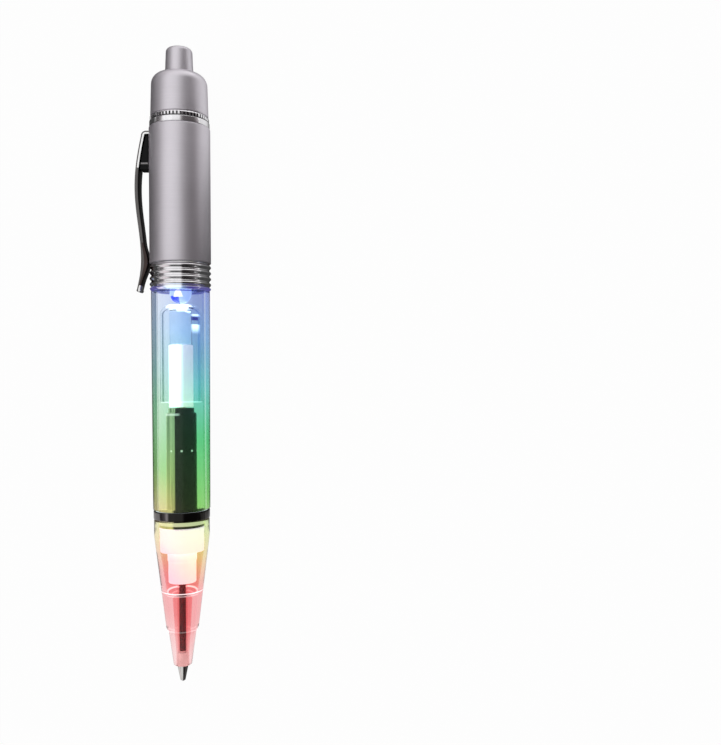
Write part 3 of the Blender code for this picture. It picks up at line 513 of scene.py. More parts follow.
def capsule_finish(bottom, top):
    """Clear plastic with painted highlights of the lamp's light on its crown, lower rim and far side, and
    painted shade in a patch on that far side.
    """
    paint = Finish("clear_capsule")
    flow = paint.grain((0.5, 2.0, 2.0), 3.0)
    height, aside, above = paint.along("X"), paint.along("Y"), paint.along("Z")
    lower = 0.8 * aside.step(-0.4, 0.2)
    # painted highlight on the crown, lower on the far side
    crown = height.step(top - 1.1 - lower, top - 0.7 - lower) * aside.close(-0.3, 1.9, 2.7)
    # painted highlight on the lower rim
    rim = height.fall(bottom + 0.05, bottom + 0.25)
    # painted glare and glint of the lamp's light on the far side
    flank = aside.close(3.6, 0.5, 0.75) * above.step(0.0, 1.0)
    glare = flank * height.step(top - 7.0, top - 4.9) * height.fall(top - 4.7, top - 4.5)
    glint = 0.7 * flank * height.close(top - 2.5, 0.15, 0.3)
    # painted shade: a dark patch on the far side
    shade = flank * height.close(top - 3.3, 0.3, 0.45)
    light = (crown * flow.step(0.25, 0.6, 0.45, 1.0)).either(0.7 * rim).either(glare).either(glint)
    clear = paint.mixed(flow.step(0.3, 0.7), (0.93, 0.96, 0.99), (0.97, 0.99, 1.0))
    return paint.wear(
        base_color=paint.mixed(shade, clear, (0.10, 0.08, 0.42)),
        roughness=0.02 + 0.03 * flow,
        ior=1.25,
        transmission_weight=1.0,
        emission_color=paint.mixed(light, (0.004, 0.006, 0.009), (0.92, 0.96, 1.0)),
        emission_strength=1.1,
    )


def epoxy_finish(tip):
    """Blue epoxy that glows warm white in its middle, with a deep blue patch at its tip."""
    paint = Finish("lamp_epoxy")
    height, aside = paint.along("X"), paint.along("Y")
    swirl = paint.grain((0.8, 0.8, 0.8))
    above = (height - tip) / 2.6
    core = height.step(tip + 1.4, tip + 1.7) * (abs(aside + 0.1) / (1.8 - above)).fall(0.75, 1.0)
    patch = aside.close(-1.05, 1.0, 1.2) * height.fall(tip + 1.6, tip + 1.9)
    blue = paint.mixed(patch, (0.34, 0.44, 0.52), (0.002, 0.018, 0.40))
    return paint.wear(
        base_color=paint.mixed(swirl.step(0.3, 0.7), (0.02, 0.04, 0.40), (0.04, 0.07, 0.50)),
        roughness=0.03 + 0.02 * swirl,
        ior=1.5,
        transmission_weight=0.03,
        emission_color=paint.mixed(core, blue, (1.0, 0.96, 0.75)),
        emission_strength=1.8,
    )


def banded_finish(colours):
    """Dark plating, paler towards the clip as painted light, with faint streaks."""
    paint = Finish("dark_chrome")
    lines = paint.grain((22.0, 0.25, 0.25))
    streaks = paint.grain((0.02, 0.7, 0.7))
    # painted light: paler towards the clip; the faint streaks are the plating's own
    pale = paint.along("Y").fall(-2.2, -1.6).either(0.35 * streaks.step(0.55, 0.65))
    return paint.wear(
        base_color=paint.mixed(pale, scaled(colours.dark_chrome, 0.5), (0.24, 0.22, 0.22)),
        metallic=1.0,
        roughness=0.10 + 0.06 * lines,
    )


def smoked_finish(colours, bottom, top):
    """Dark plating with painted light: a paler painted reflection by the clip, a painted highlight on its
    shoulder, painted glints in a row round the sleeve and a painted bright band on the plug.
    """
    paint = Finish("smoked_chrome")
    lines = paint.grain((0.05, 3.0, 3.0))
    height, aside, turn = paint.along("X"), paint.along("Y"), paint.turn()
    # painted reflection: the side by the clip is paler and olive, in streaks
    painted_olive_reflection = aside.fall(-0.95, -0.65) * lines.step(0.3, 0.6, 0.55, 1.0)
    # painted highlight on the shoulder
    gleam = height.close(top - 1.5, 0.1, 0.4) * aside.fall(-0.2, 0.6)
    # painted glints in a row round the sleeve
    spread = abs(turn.maths("PINGPONG", turn + 8.0, 20.0) - 20.0) / 4.6
    painted_glint_row = spread.either(abs(height - bottom - 17.65) / 0.26).fall(0.5, 1.0)
    # painted bright band on the plug
    band = height.close(bottom + 1.0, 0.35, 0.45)
    # painted warm reflection that glows on the paler side
    warm = paint.mixed(height.step(42.0, 60.0), (0.48, 0.46, 0.26), (0.27, 0.35, 0.24))
    bright = (0.7 * gleam).either(painted_glint_row).either(0.85 * band)
    return paint.wear(
        base_color=paint.mixed(painted_olive_reflection, scaled(colours.dark_chrome, 0.3), (0.30, 0.28, 0.20)),
        metallic=1.0,
        roughness=0.09 + 0.05 * lines,
        emission_color=paint.mixed(bright, paint.mixed(painted_olive_reflection, DARK, warm), (1.0, 0.96, 1.0)),
        emission_strength=0.9,
    )


def wall_finish(colours):
    """Clear tinted plastic with flow lines along the tube."""
    paint = Finish("refill_wall")
    flow = paint.grain((0.3, 3.0, 3.0))
    return paint.wear(
        base_color=paint.mottled(flow, colours.refill, 0.92, 1.05),
        roughness=0.08 + 0.06 * flow,
        ior=1.08,
        transmission_weight=1.0,
    )


def ink_finish(colours):
    """Thick ink with faint swirls."""
    paint = Finish("ink_paste")
    swirl = paint.grain((0.4, 1.5, 1.5), 3.0)
    return paint.wear(
        base_color=paint.mottled(swirl, colours.ink, 0.75, 1.25),
        roughness=0.18 + 0.10 * swirl,
        specular_ior_level=0.1,
    )


def block_finish(colours):
    """Dull black moulding with a painted highlight line across its lower end."""
    paint = Finish("block_black")
    texture = paint.grain((11.0, 11.0, 11.0))
    # painted highlight: a light line across the lower end
    painted_highlight_line = paint.along("X").close(span("clip_block")[0] + 1.35, 0.10, 0.26)
    black = paint.mottled(texture, colours.black, 0.8, 1.2)
    return paint.wear(
        base_color=paint.mixed(painted_highlight_line, black, (0.34, 0.33, 0.33)),
        roughness=0.40 + 0.12 * texture,
        specular_ior_level=0.12,
        normal=paint.bump(texture, 0.012, 0.5),
    )


def board_finish():
    """Green laminate with tinned pads where the leads end."""
    paint = Finish("board_laminate")
    weave = paint.grain((6.0, 6.0, 0.6))
    aside = abs(abs(paint.along("Y")) - 1.27)
    pad = aside.either(abs(paint.along("Z"))).fall(0.45, 0.55)
    green = paint.mixed(weave.step(0.3, 0.7), (0.030, 0.17, 0.065), (0.050, 0.25, 0.10))
    return paint.wear(
        base_color=paint.mixed(pad, green, (0.72, 0.71, 0.68)),
        metallic=pad,
        roughness=0.38 + 0.12 * weave,
    )


def at_height(radius, height, turn):
    """A point on the pen in metres, from millimetres and an angle round the axis, with 0 at the top."""
    return Vector((TIP_X - height * MM, radius * MM * sin(turn), AXIS_Z + radius * MM * cos(turn)))


def rounded(corners, steps=4):
    """A profile whose corners, each a radius, a height and a fillet, are rounded by their fillets."""
    points = []
    for index, (radius, height, fillet) in enumerate(corners):
        here = Vector((radius, height))
        if not fillet:
            points.append(tuple(here))
            continue
        before = (Vector(corners[index - 1][:2]) - here).normalized()
        after = (Vector(corners[(index + 1) % len(corners)][:2]) - here).normalized()
        half = before.angle(after) / 2
        reach = fillet / tan(half)
        centre = here + (before + after).normalized() * fillet / sin(half)
        start, end = here + before * reach - centre, here + after * reach - centre
        sweep = start.angle_signed(end)
        for step in range(steps + 1):
            turn = -sweep * step / steps
            spun = (start.x * cos(turn) - start.y * sin(turn), start.x * sin(turn) + start.y * cos(turn))
            points.append(tuple(centre + Vector(spun)))
    return points


def plain_ring(inner, outer, heights, fillets, steps=4):
    """The profile of a ring, or of a rod if the inner radius is 0, with fillets at its foot and top."""
    (bottom, top), (foot, brow) = heights, fillets
    return rounded([(inner, top, 0), (outer, top, brow), (outer, bottom, foot), (inner, bottom, 0)], steps)


def closed_mesh(name, shape):
    """Turn a bmesh into a smooth-shaded mesh whose faces point out."""
    bmesh.ops.remove_doubles(shape, verts=shape.verts, dist=1e-8)
    bmesh.ops.recalc_face_normals(shape, faces=shape.faces)
    mesh = bpy.data.meshes.new(name)
    shape.to_mesh(mesh)
    shape.free()
    mesh.shade_smooth()
    mesh.set_sharp_from_angle(angle=SHARP)
    return mesh


def turned_mesh(name, profile, segments, wave=None):
    """Turn a profile about the pen's axis: one that ends on the axis to a solid, and any other to a ring."""
    shape = bmesh.new()
    rows = []
    for step in range(segments):
        turn = tau * step / segments
        row = []
        for radius, height in profile:
            dent = wave(radius, height, turn) if wave else 0.0
            row.append(shape.verts.new(at_height(FLAT * (radius - dent), height, turn)))
        rows.append(row)
    solid = profile[0][0] == 0 and profile[-1][0] == 0
    pairs = len(profile) - 1 if solid else len(profile)
    for row, beside in zip(rows, rows[1:] + rows[:1]):
        for index in range(pairs):
            after = (index + 1) % len(profile)
            corners = [row[index], row[after], beside[after], beside[index]]
            if profile[index][0] == 0:
                corners = corners[:3]
            elif profile[after][0] == 0:
                corners = [corners[0], corners[1], corners[3]]
            shape.faces.new(corners)
    return closed_mesh(name, shape)


def swept_mesh(name, rows, kinds=None):
    """Join rows of points, each a section of a bar, and close the ends. Kinds gives each face a material."""
    shape = bmesh.new()
    rows = [[shape.verts.new(place) for place in row] for row in rows]
    for number, (row, beside) in enumerate(zip(rows, rows[1:])):
        for index in range(len(row)):
            after = (index + 1) % len(row)
            face = shape.faces.new((row[index], row[after], beside[after], beside[index]))
            if kinds:
                face.material_index = kinds(number, index)
    for row in (rows[0], rows[-1]):
        shape.faces.new(row)
    return closed_mesh(name, shape)


def add(name, data):
    """Put an object into the scene."""
    item = bpy.data.objects.new(name, data)
    bpy.context.scene.collection.objects.link(item)
    return item


def dress(name, mesh, material, node=None, body="barrel"):
    """Make a piece of the pen: it rides on a body, and stands for a solid where it names one."""
    piece = add(name, mesh)
    mesh.materials.append(material)
    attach(piece, body)
    if node:
        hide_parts(node)
    return piece


def turn_piece(name, profile, sides, material, node=None, body="barrel", wave=None):
    """Turn a profile and make it a piece of the pen."""
    dress(name, turned_mesh(name, profile, sides, wave), material, node, body)


def recoat(node, material):
    """Give a solid that keeps its own shape a finish."""
    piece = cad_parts[node]
    piece.data.materials.clear()
    piece.data.materials.append(material)


def carve(mesh, low, high):
    """Cut a box, between two corners in metres, out of a mesh."""
    shape = bmesh.new()
    bmesh.ops.create_cube(shape, size=1.0)
    for vertex in shape.verts:
        vertex.co = [low[i] + (high[i] - low[i]) * (vertex.co[i] + 0.5) for i in range(3)]
    tool = add("slot_tool", closed_mesh("slot_tool", shape))
    work = add("slot_work", mesh)
    cut = work.modifiers.new("slot", "BOOLEAN")
    cut.operation, cut.solver, cut.object = "DIFFERENCE", "EXACT", tool
    bpy.context.view_layer.update()
    carved = bpy.data.meshes.new_from_object(work.evaluated_get(bpy.context.evaluated_depsgraph_get()))
    for item in (tool, work):
        bpy.data.objects.remove(item)
    carved.set_sharp_from_angle(angle=SHARP)
    return carved


def light_studio(scene):
    """A wide soft box over the clip's side and a dim sky, paler low on the far side and past the button.

    Lean is an angle across the pen, with 0 straight up and negative towards the clip. Along is 1 past the tip
    and -1 past the button.
    """
    world = bpy.data.worlds.new("studio")
    world.use_nodes = True
    paint = Paint(world.node_tree)
    way = paint.node("ShaderNodeTexCoord", output="Generated")
    along, across, up = (paint.node("ShaderNodeSeparateXYZ", None, {0: way}, axis) for axis in range(3))
    lean = across.maths("ARCTAN2", across, up) * DEGREES
    reach = along.step(-0.85, -0.55, 70.0, 0.0)
    box = lean.step(-66.0, -52.0) * (lean - reach).fall(10.0, 22.0)
    ends = along.step(-0.24, -0.06, 1.0, 0.78) * along.step(0.72, 0.90, 1.0, 0.06)
    head = along.step(-0.95, -0.68, 0.85, 0.0)
    rise = along.step(-0.85, -0.55, 0.85, 0.0).either(along.step(-0.20, -0.12, 0.22, 0.05))
    low = lean.step(70.0, 82.0) * rise
    left = lean.step(-72.0, -58.0, 0.8, 0.0) * along.step(0.40, 0.55)
    light = along.step(0.35, 0.60, 0.09, 0.02) + (0.86 * box * ends).either(head) + low + left
    tint = paint.mixed(box, (1.0, 0.90, 0.93), WHITE)
    lit = paint.mixed(1.0, tint, paint.grey(light), "MULTIPLY")
    shown = paint.ray("Camera").either(paint.ray("Transmission"))
    background = world.node_tree.nodes["Background"]
    paint.feed(background.inputs["Color"], paint.mixed(shown, lit, WHITE))
    scene.world = world


def lay_floor(stage):
    """A wide pale floor that shows white and keeps the pen's shadow.

    In metal it is dim, but paler near the nose, past the button and beside the sleeve's far side.
    """
    shape = bmesh.new()
    bmesh.ops.create_grid(shape, x_segments=8, y_segments=8, size=3.0)
    bmesh.ops.translate(shape, vec=(TIP_X / 2, 0.0, CAD_BOX[0][2]), verts=shape.verts)
    mesh = closed_mesh("floor", shape)
    paint = Finish("pale_floor")
    fleck = paint.grain((0.02, 0.02, 0.02), 3.0)
    paint.wear(
        base_color=paint.mixed(fleck, scaled(stage.floor, 0.99), scaled(stage.floor, 1.01)),
        roughness=0.9,
        specular_ior_level=0.0,
    )
    seen, mirrored, through = (paint.ray(kind) for kind in ("Camera", "Glossy", "Transmission"))
    aside, height = paint.along("Y"), paint.along("X")
    far = height.step(90.0, 104.0, 0.0, 0.17) + height.step(105.0, 135.0, 0.0, 0.62)
    near = height.step(36.0, 42.0, 0.55, 0.0) * height.step(0.0, 8.0).either(aside.fall(-2.0, 2.0))
    dim = 0.05 + aside.step(5.0, 16.0) * far + near + height.step(165.0, 200.0, 0.0, 0.7)
    shade = seen.either(through).either(mirrored * dim)
    white = paint.node("ShaderNodeEmission", None, {"Color": paint.grey(shade), "Strength": 1.0})
    plain = Shade(paint, paint.shader.outputs[0])
    shown = stage.floor_glow * seen.either(mirrored).either(through)
    mix = paint.node("ShaderNodeMixShader", None, {0: shown, 1: plain, 2: white})
    paint.feed(paint.tree.nodes["Material Output"].inputs["Surface"], mix)
    mesh.materials.append(paint.material)
    floor = add("floor", mesh)


def clip_stand(drop):
    """How far the strip's outer face is from the axis, at a distance below the clip's head."""
    if drop < CREST:
        return 8.3 + 1.8 * sin(drop / CREST * pi / 2)
    if drop < WAIST:
        return 10.1 - 1.36 * (1 - cos((drop - CREST) / (WAIST - CREST) * pi)) / 2
    return 8.74 + 1.16 * (1 - cos((drop - WAIST) / (LIP - WAIST) * pi / 2))


def clip_spine():
    """Pairs of points on the strip's outer and inner faces, from its root round the head to its lip."""
    bend, thick = 1.1, 0.8
    pairs = [((5.4, 0.0), (5.4, thick))]
    hub = clip_stand(bend) - bend
    for step in range(8):
        turn = pi * step / 16
        pairs.append([(hub + reach * sin(turn), bend - reach * cos(turn)) for reach in (bend, 0.3)])
    for step in range(73):
        drop = bend + (LIP - 1.6) * step / 72
        outer = clip_stand(drop)
        swell = cos(min(1.0, abs(drop - WAIST - 0.6) / 5.0) * pi / 2) ** 2
        pairs.append([(outer, drop), (outer - thick - 0.8 * swell, drop)])
    middle = clip_stand(LIP - 0.5) - thick / 2
    for step in range(6):
        turn = pi * (step + 0.5) / 12
        half = 0.5 * cos(turn)
        drop = LIP - 0.5 + 0.5 * sin(turn)
        pairs.append([(middle + half, drop), (middle - half, drop)])
    return pairs


def clip_strip(pairs, edge):
    """The strip swept along its spine, a little narrower towards its lip.

    Its inner face and its swell are darkened as painted shade, and its sides carry a painted highlight along
    that face near the head and at the lip.
    """
    side = [(0.0, edge), (0.08, 0.3 * edge), (0.45, 0.0), (0.92, 0.1 * edge), (1.0, edge)]
    section = [(share, 1, inset) for share, inset in side]
    section += [(share, -1, inset) for share, inset in reversed(side)]
    top = span("pocket_clip")[1]
    rows = []
    for pair in pairs:
        row = []
        for share, way, inset in section:
            distance, drop = (first + (last - first) * share for first, last in zip(*pair))
            half = 2.0 - 0.3 * drop / LIP - inset
            row.append((TIP_X - (top - drop) * MM, -distance * MM * FLAT, AXIS_Z + way * half * MM))
        rows.append(row)
    # painted shade on the dark faces, and a painted highlight on the bright sides
    plain, dark, wear_and_painted_highlight = range(3)
    inner = len(side) - 1
    flanks = {inner - 2, inner - 1, inner + 1, inner + 2}

    def metal(number, index):
        """Which of the clip's three metals a face has."""
        drop = pairs[number][0][1]
        at_lip = drop > LIP_PAINTED_HIGHLIGHT
        if index == inner:
            return wear_and_painted_highlight if at_lip else dark
        if index not in flanks:
            return plain
        if drop < PAINTED_HIGHLIGHT_END or at_lip:
            return wear_and_painted_highlight
        return plain if drop < PAINTED_SHADE_START else dark

    return swept_mesh("clip_strip", rows, metal)


def return_spring(steel):
    """The button's spring: three turns of wire."""
    bottom, top = span("button_spring")
    radius, wire, turns, sides = 2.5, 0.16, 3, 8
    steps = 28 * turns
    leans = [tau * side / sides for side in range(sides)]
    rows = []
    for step in range(steps + 1):
        share = step / steps
        height = bottom + wire + (top - bottom - 2 * wire) * share
        turn = tau * turns * share
        places = [(radius + wire * cos(lean), height + wire * sin(lean)) for lean in leans]
        rows.append([at_height(*place, turn) for place in places])
    mesh = swept_mesh("return_spring", rows)
    spring = dress("return_spring", mesh, steel, "button_spring", "cap")
    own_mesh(spring)


class PEN_OT_stage(Operator):
    """Set the camera, the floor, the soft lamp and the studio round the pen"""

    bl_idname = "pen.stage"
    bl_label = "Stage"

    def execute(self, context):
        stage = context.scene.pen_stage
        context.scene.view_settings.view_transform = "Standard"
        camera = bpy.data.cameras.new("camera")
        camera.lens, camera.sensor_width = stage.lens, 36.0
        camera.clip_start, camera.clip_end = 0.01, 20.0
        viewer = add("camera", camera)
        viewer.location = (stage.along, stage.aside, AXIS_Z + stage.height)
        viewer.rotation_euler = (0.0, 0.0, pi / 2 + stage.roll)
        context.scene.camera = viewer

        lamp = bpy.data.lights.new("key_lamp", "AREA")
        lamp.shape, lamp.size, lamp.size_y = "RECTANGLE", 0.90, 0.70
        lamp.energy = stage.key_power
        key = add("key_lamp", lamp)
        key.location = (0.02, -0.46, 0.46)
        aim = Vector((0.04, 0.0, AXIS_Z)) - key.location
        key.rotation_euler = aim.to_track_quat("-Z", "Y").to_euler()
        light_studio(context.scene)
        lay_floor(stage)
        return {"FINISHED"}


class PEN_OT_satin_shells(Operator):
    """Turn the grey sleeve, cap and button"""

    bl_idname = "pen.satin_shells"
    bl_label = "Satin shells"

    def execute(self, context):
        shape, colours = context.scene.pen_shape, context.scene.pen_colours
        sides = shape.segments
        satin = satin_finish("satin_grey", colours.satin)
        sleeve = plain_ring(6.5, SLEEVE, span("metal_sleeve"), (0.22, 0.22))
        clip_head = span("pocket_clip")[1]
        slot_low = at_height(14.0, clip_head + 0.3, -pi / 2)
        slot_high = at_height(5.1, clip_head - 1.1, -pi / 2)
        half = Vector((0.0, 0.0, 2.3 * MM))
        mesh = carve(turned_mesh("satin_sleeve", sleeve, sides), slot_low - half, slot_high + half)
        dress("satin_sleeve", mesh, satin, "metal_sleeve")

        bottom, top = span("top_cap")
        chamber, ceiling = bottom + 4.0, top - 1.1
        cap = [(3.45, top, 0), (6.36, top, 2.6), (6.62, bottom, 0.12), (CAP_BORE, bottom, 0)]
        cap += [(CAP_BORE, chamber, 0), (4.4, chamber, 0), (4.4, ceiling, 0), (3.45, ceiling, 0)]
        turn_piece("satin_cap", rounded(cap, 9), sides, satin, "top_cap", "cap")

        stem, crown = span("push_button")
        flange = [(4.2, stem + 2.3, 0.15), (4.2, stem + 1.3, 0.15)]
        button = [(0.0, crown, 0), (3.0, crown, 0.95), (3.25, top, 0), (3.25, stem + 2.3, 0), *flange]
        button += [(1.6, stem + 1.3, 0), (1.6, stem, 0.1), (0.0, stem, 0)]
        turn_piece("satin_button", rounded(button, 7), sides, satin, "push_button", "button")
        return {"FINISHED"}


class PEN_OT_bright_rings(Operator):
    """Turn the bright collar, the toothed ring and the ribbed band"""

    bl_idname = "pen.bright_rings"
    bl_label = "Bright rings"

    def execute(self, context):
        shape, colours = context.scene.pen_shape, context.scene.pen_colours
        chrome = plated_finish("bright_chrome", colours.chrome, 0.15)
        bottom, top = span("collar_ring")
        sides = shape.segments
        collar = plain_ring(CAP_BORE, 6.85, (bottom - 0.15, top), (0.15, 0.15), 5)
        turn_piece("bright_collar", collar, sides, chrome, "collar_ring", "collar")

        bottom, top = span("knurled_ring")[0], span("top_cap")[0]
        brim = top - 0.45
        ring = [(CAP_BORE, top, 0), (6.42, top, 0.08), (6.75, brim, 0), (6.75, bottom, 0.08)]
        ring = rounded([*ring, (CAP_BORE, bottom, 0)], 3)
        ring.insert(-5, (6.75, brim - 0.05))
        depth, teeth = shape.tooth_depth / MM, shape.teeth

        def wave(radius, height, turn):
            """The gaps between the teeth, which stop below a smooth brim."""
            gap = min(1.0, max(0.0, 2.2 * cos(turn * teeth)))
            return depth * gap if radius > 6.2 and height < brim - 0.01 else 0.0

        # painted shade in the tooth gaps below the brim
        toothed = plated_finish("toothed_chrome", colours.chrome, 0.10, brim)
        turn_piece("toothed_ring", ring, 8 * teeth, toothed, "knurled_ring", "cap", wave)

        bottom, top = span("ribbed_ring")
        rib, pitch = shape.rib_depth / MM, shape.rib_pitch / MM
        ribs, steps = 4, 16
        band = [(6.15, top), (SLEEVE - rib, top)]
        for number in range(ribs):
            for share in (step / steps for step in range(1, steps + 1)):
                band.append((SLEEVE - rib * cos(pi * share) ** 2, top - pitch * (number + share)))
        foot = top - ribs * pitch
        edge = [(SLEEVE - rib, foot, 0), (SLEEVE, foot - 0.25, 0.12), (6.72, bottom, 0.12), (6.15, bottom, 0)]
        band += rounded(edge)[1:]
        lit = lit_chrome_finish(colours, bottom)
        turn_piece("ribbed_band", band, sides, lit, "ribbed_ring")
        return {"FINISHED"}


class PEN_OT_clear_shells(Operator):
    """Turn the clear barrel and the clear nose"""

    bl_idname = "pen.clear_shells"
    bl_label = "Clear shells"

    def execute(self, context):
        shape, colours = context.scene.pen_shape, context.scene.pen_colours
        bottom, top = span("clear_barrel")
        shoulder = span("ribbed_ring")[0] - 0.2
        ledge = span("led_holder")[0] - 0.2
        barrel = [(5.1, top, 0), (5.95, top, 0.1), (5.95, shoulder, 0.02), (6.70, shoulder, 0.05)]
        barrel += [(6.5, bottom, 0.12), (BARREL_BORE, bottom, 0.1), (BARREL_BORE, ledge - 1.8, 0.4)]
        barrel += [(4.3, ledge - 1.0, 0.1), (4.3, ledge, 0), (5.1, ledge, 0)]
        # painted light on the barrel: glow for the lamp's light, paler by the clip, dark edges and a shadow
        # line
        look = {"glows": (0.006, 0.012), "slant": 9.0, "pale": (0.30, 0.65), "painted_edge_shade": 1.0}
        # painted highlight: a bright ring at the barrel's foot
        painted_rim_highlights = [(5.7, 0.2, bottom, 1.0)]
        lit = lit_clear_finish("lit_barrel", colours, painted_shadow_height=shoulder - 0.12, painted_rim_highlights=painted_rim_highlights, **look)
        turn_piece("barrel_tube", rounded(barrel), shape.segments, lit, "clear_barrel")

        end, mouth = span("nose_cone")
        step = span("refill_holder")[0] - 2.7
        nose = [(BARREL_BORE, mouth, 0.1), (6.34, mouth, 0.12), (6.34, mouth - 3.65, 9.0)]
        nose += [(3.72, end + 8.9, 0.8), (3.12, end + 7.6, 1.6), (2.05, end, 0.5), (1.45, end, 0.1)]
        nose += [(1.45, end + 3.2, 0), (2.3, step - 0.1, 0.5), (3.62, step + 0.6, 0.2)]
        nose += [(5.05, end + 26.5, 1.0), (BARREL_BORE, end + 32.1, 1.0)]
        # painted light on the nose: glow for the lamp's light, slightly paler by the clip
        look = {"glows": (0.010, 0.012), "slant": 4.5, "pale": (0.12, 0.12), "painted_edge_shade": 0.0}
        # painted highlights: bright rings at the nose's inner steps
        painted_rim_highlights = [(3.47, 0.18, step + 0.55, 0.8), (2.3, 0.25, step - 0.15, 0.2), (3.4, 0.3, end + 8.3, 0.1)]
        lit = lit_clear_finish("lit_nose", colours, painted_shadow_height=0.0, painted_rim_highlights=painted_rim_highlights, **look)
        turn_piece("nose_shell", rounded(nose, 6), shape.segments, lit, "nose_cone", "nose")
        return {"FINISHED"}


class PEN_OT_light_column(Operator):
    """Turn the capsule under the lamp, and the clear and white rods inside it"""

    bl_idname = "pen.light_column"
    bl_label = "Light column"

    def execute(self, context):
        shape, colours = context.scene.pen_shape, context.scene.pen_colours
        sides = shape.inner_segments
        bottom, top = span("light_capsule")
        capsule = [(0.0, top, 0), (4.8, top, 2.4), (4.8, bottom, 0.2)]
        capsule += [(4.0, bottom, 0.1), (4.0, top - 0.8, 1.6), (0.0, top - 0.8, 0)]
        clear = capsule_finish(bottom, top)
        turn_piece("lamp_capsule", rounded(capsule, 8), sides, clear, "light_capsule")

        pipe = plain_ring(0.0, 2.6, span("light_pipe"), (0.1, 0.3))
        turn_piece("clear_pipe", pipe, sides, pipe_finish(), "light_pipe")

        bottom, top = span("diffuser_rod")
        socket = span("refill_tube")[1] + 0.2
        rod = [(0.0, top, 0), (2.76, top, 0.15), (2.76, bottom, 0.1)]
        rod += [(REFILL_HOLE, bottom, 0), (REFILL_HOLE, socket, 0), (0.0, socket, 0)]
        # painted glow of the lamp's light in the white rod, darker away from the clip as painted shade
        stops = [(0.0, (0.80, 1.0, 0.97)), (0.5, (0.93, 1.0, 1.0)), (1.0, (0.97, 0.98, 1.0))]
        glowing = glowing_finish("glowing_rod", colours.white, stops, (bottom, top), 2.4, (0.38, 0.27, 0.26))
        turn_piece("white_rod", rounded(rod), sides, glowing, "diffuser_rod")
        return {"FINISHED"}


class PEN_OT_lamp(Operator):
    """Turn the lamp's dome, with its cup and chip, and finish its seat and leads"""

    bl_idname = "pen.lamp"
    bl_label = "Lamp"

    def execute(self, context):
        shape, colours = context.scene.pen_shape, context.scene.pen_colours
        sides = shape.inner_segments
        tip, base = span("led_lamp")
        dome = [(0.0, base, 0), (2.95, base, 0.1), (2.95, base - 1.0, 0.1)]
        dome += [(2.5, base - 1.0, 0), (2.5, tip, 2.45), (0.0, tip, 0)]
        epoxy = epoxy_finish(tip)
        turn_piece("lamp_dome", rounded(dome, 9), sides, epoxy, "led_lamp")

        stops = [(0.0, (0.85, 0.90, 1.0)), (1.0, (0.55, 0.65, 1.0))]
        shining = glowing_finish("lamp_light", (0.9, 0.92, 1.0), stops, (tip + 1.6, tip + 4.4), 2.2)
        cup = [(0.0, tip + 4.0, 0), (1.5, tip + 4.0, 0.1), (1.5, tip + 2.6, 0.1)]
        cup += [(1.25, tip + 2.6, 0.05), (0.6, tip + 3.4, 0.1), (0.0, tip + 3.4, 0)]
        turn_piece("lamp_cup", rounded(cup), sides, shining)
        chip = plain_ring(0.0, 0.45, (tip + 3.0, tip + 3.3), (0.08, 0.03))
        turn_piece("lamp_chip", chip, 24, shining)
        recoat("led_holder", moulded_finish("lamp_seat_white", colours.white))
        leads = steel_finish("lead_steel", (0.62, 0.62, 0.63))
        for node in ("led_lead_minus", "led_lead_plus"):
            recoat(node, leads)
        return {"FINISHED"}


class PEN_OT_dark_metal(Operator):
    """Turn the dark ring and the chromed sleeve that carries the refill"""

    bl_idname = "pen.dark_metal"
    bl_label = "Dark metal"

    def execute(self, context):
        shape, colours = context.scene.pen_shape, context.scene.pen_colours
        band = plain_ring(BARREL_BORE, 6.42, span("joint_ring"), (0.25, 0.25))
        banded = banded_finish(colours)
        turn_piece("dark_band", band, shape.segments, banded, "joint_ring", "joint_collar")

        sides = shape.inner_segments
        bottom, top = span("refill_sleeve")
        plug = span("clear_barrel")[0] + 0.4
        sleeve = [(REFILL_HOLE, top, 0), (2.97, top, 0.15), (2.97, top - 1.0, 0.05), (3.5, top - 1.0, 0.45)]
        sleeve += [(3.5, plug, 0), (5.2, plug, 0.15), (5.2, bottom, 0.15), (2.7, bottom, 0)]
        sleeve += [(2.7, top - 2.4, 0), (REFILL_HOLE, top - 2.4, 0)]
        smoked = smoked_finish(colours, bottom, top)
        turn_piece("chrome_sleeve", rounded(sleeve, 7), sides, smoked, "refill_sleeve")
        return {"FINISHED"}


class PEN_OT_refill(Operator):
    """Turn the white holder, the refill's wall and the ink inside it"""

    bl_idname = "pen.refill"
    bl_label = "Refill"

    def execute(self, context):
        shape, colours = context.scene.pen_shape, context.scene.pen_colours
        bottom, top = span("refill_holder")
        shoulder = top - 2.6
        holder = [(REFILL_HOLE, top, 0), (2.5, top, 0.1), (2.5, shoulder, 0), (5.2, shoulder, 0.15)]
        holder += [(4.96, bottom + 7.2, 0.3), (3.37, bottom + 7.2, 0.1), (3.37, bottom + 5.0, 0.05)]
        holder += [(3.2, bottom + 5.0, 0), (3.2, bottom, 0.15), (REFILL_HOLE, bottom, 0)]
        # painted glow of the lamp's light in the white holder
        stops = [(0.0, (0.43, 0.66, 0.73)), (0.4, (0.45, 0.45, 0.70))]
        stops += [(0.6, (0.48, 0.43, 0.80)), (1.0, (0.51, 0.42, 0.86))]
        glowing = glowing_finish("glowing_holder", colours.white, stops, (bottom, shoulder), 1.9)
        sides = shape.inner_segments
        turn_piece("white_holder", rounded(holder), sides, glowing, "refill_holder")

        wall = plain_ring(0.855, 1.175, span("refill_tube"), (0.05, 0.05))
        turn_piece("refill_wall", wall, 40, wall_finish(colours), "refill_tube")

        paste = ink_finish(colours)
        core = plain_ring(0.0, 0.755, span("ink_column"), (0.1, 0.2))
        turn_piece("ink_core", core, 32, paste, "ink_column")
        top, foot = span("ink_column")[0], span("refill_tube")[0] + 0.1
        film = [(0.6, top), (0.72, top), (0.72, foot), (0.6, foot)]
        turn_piece("ink_film", film, 32, paste)
        return {"FINISHED"}


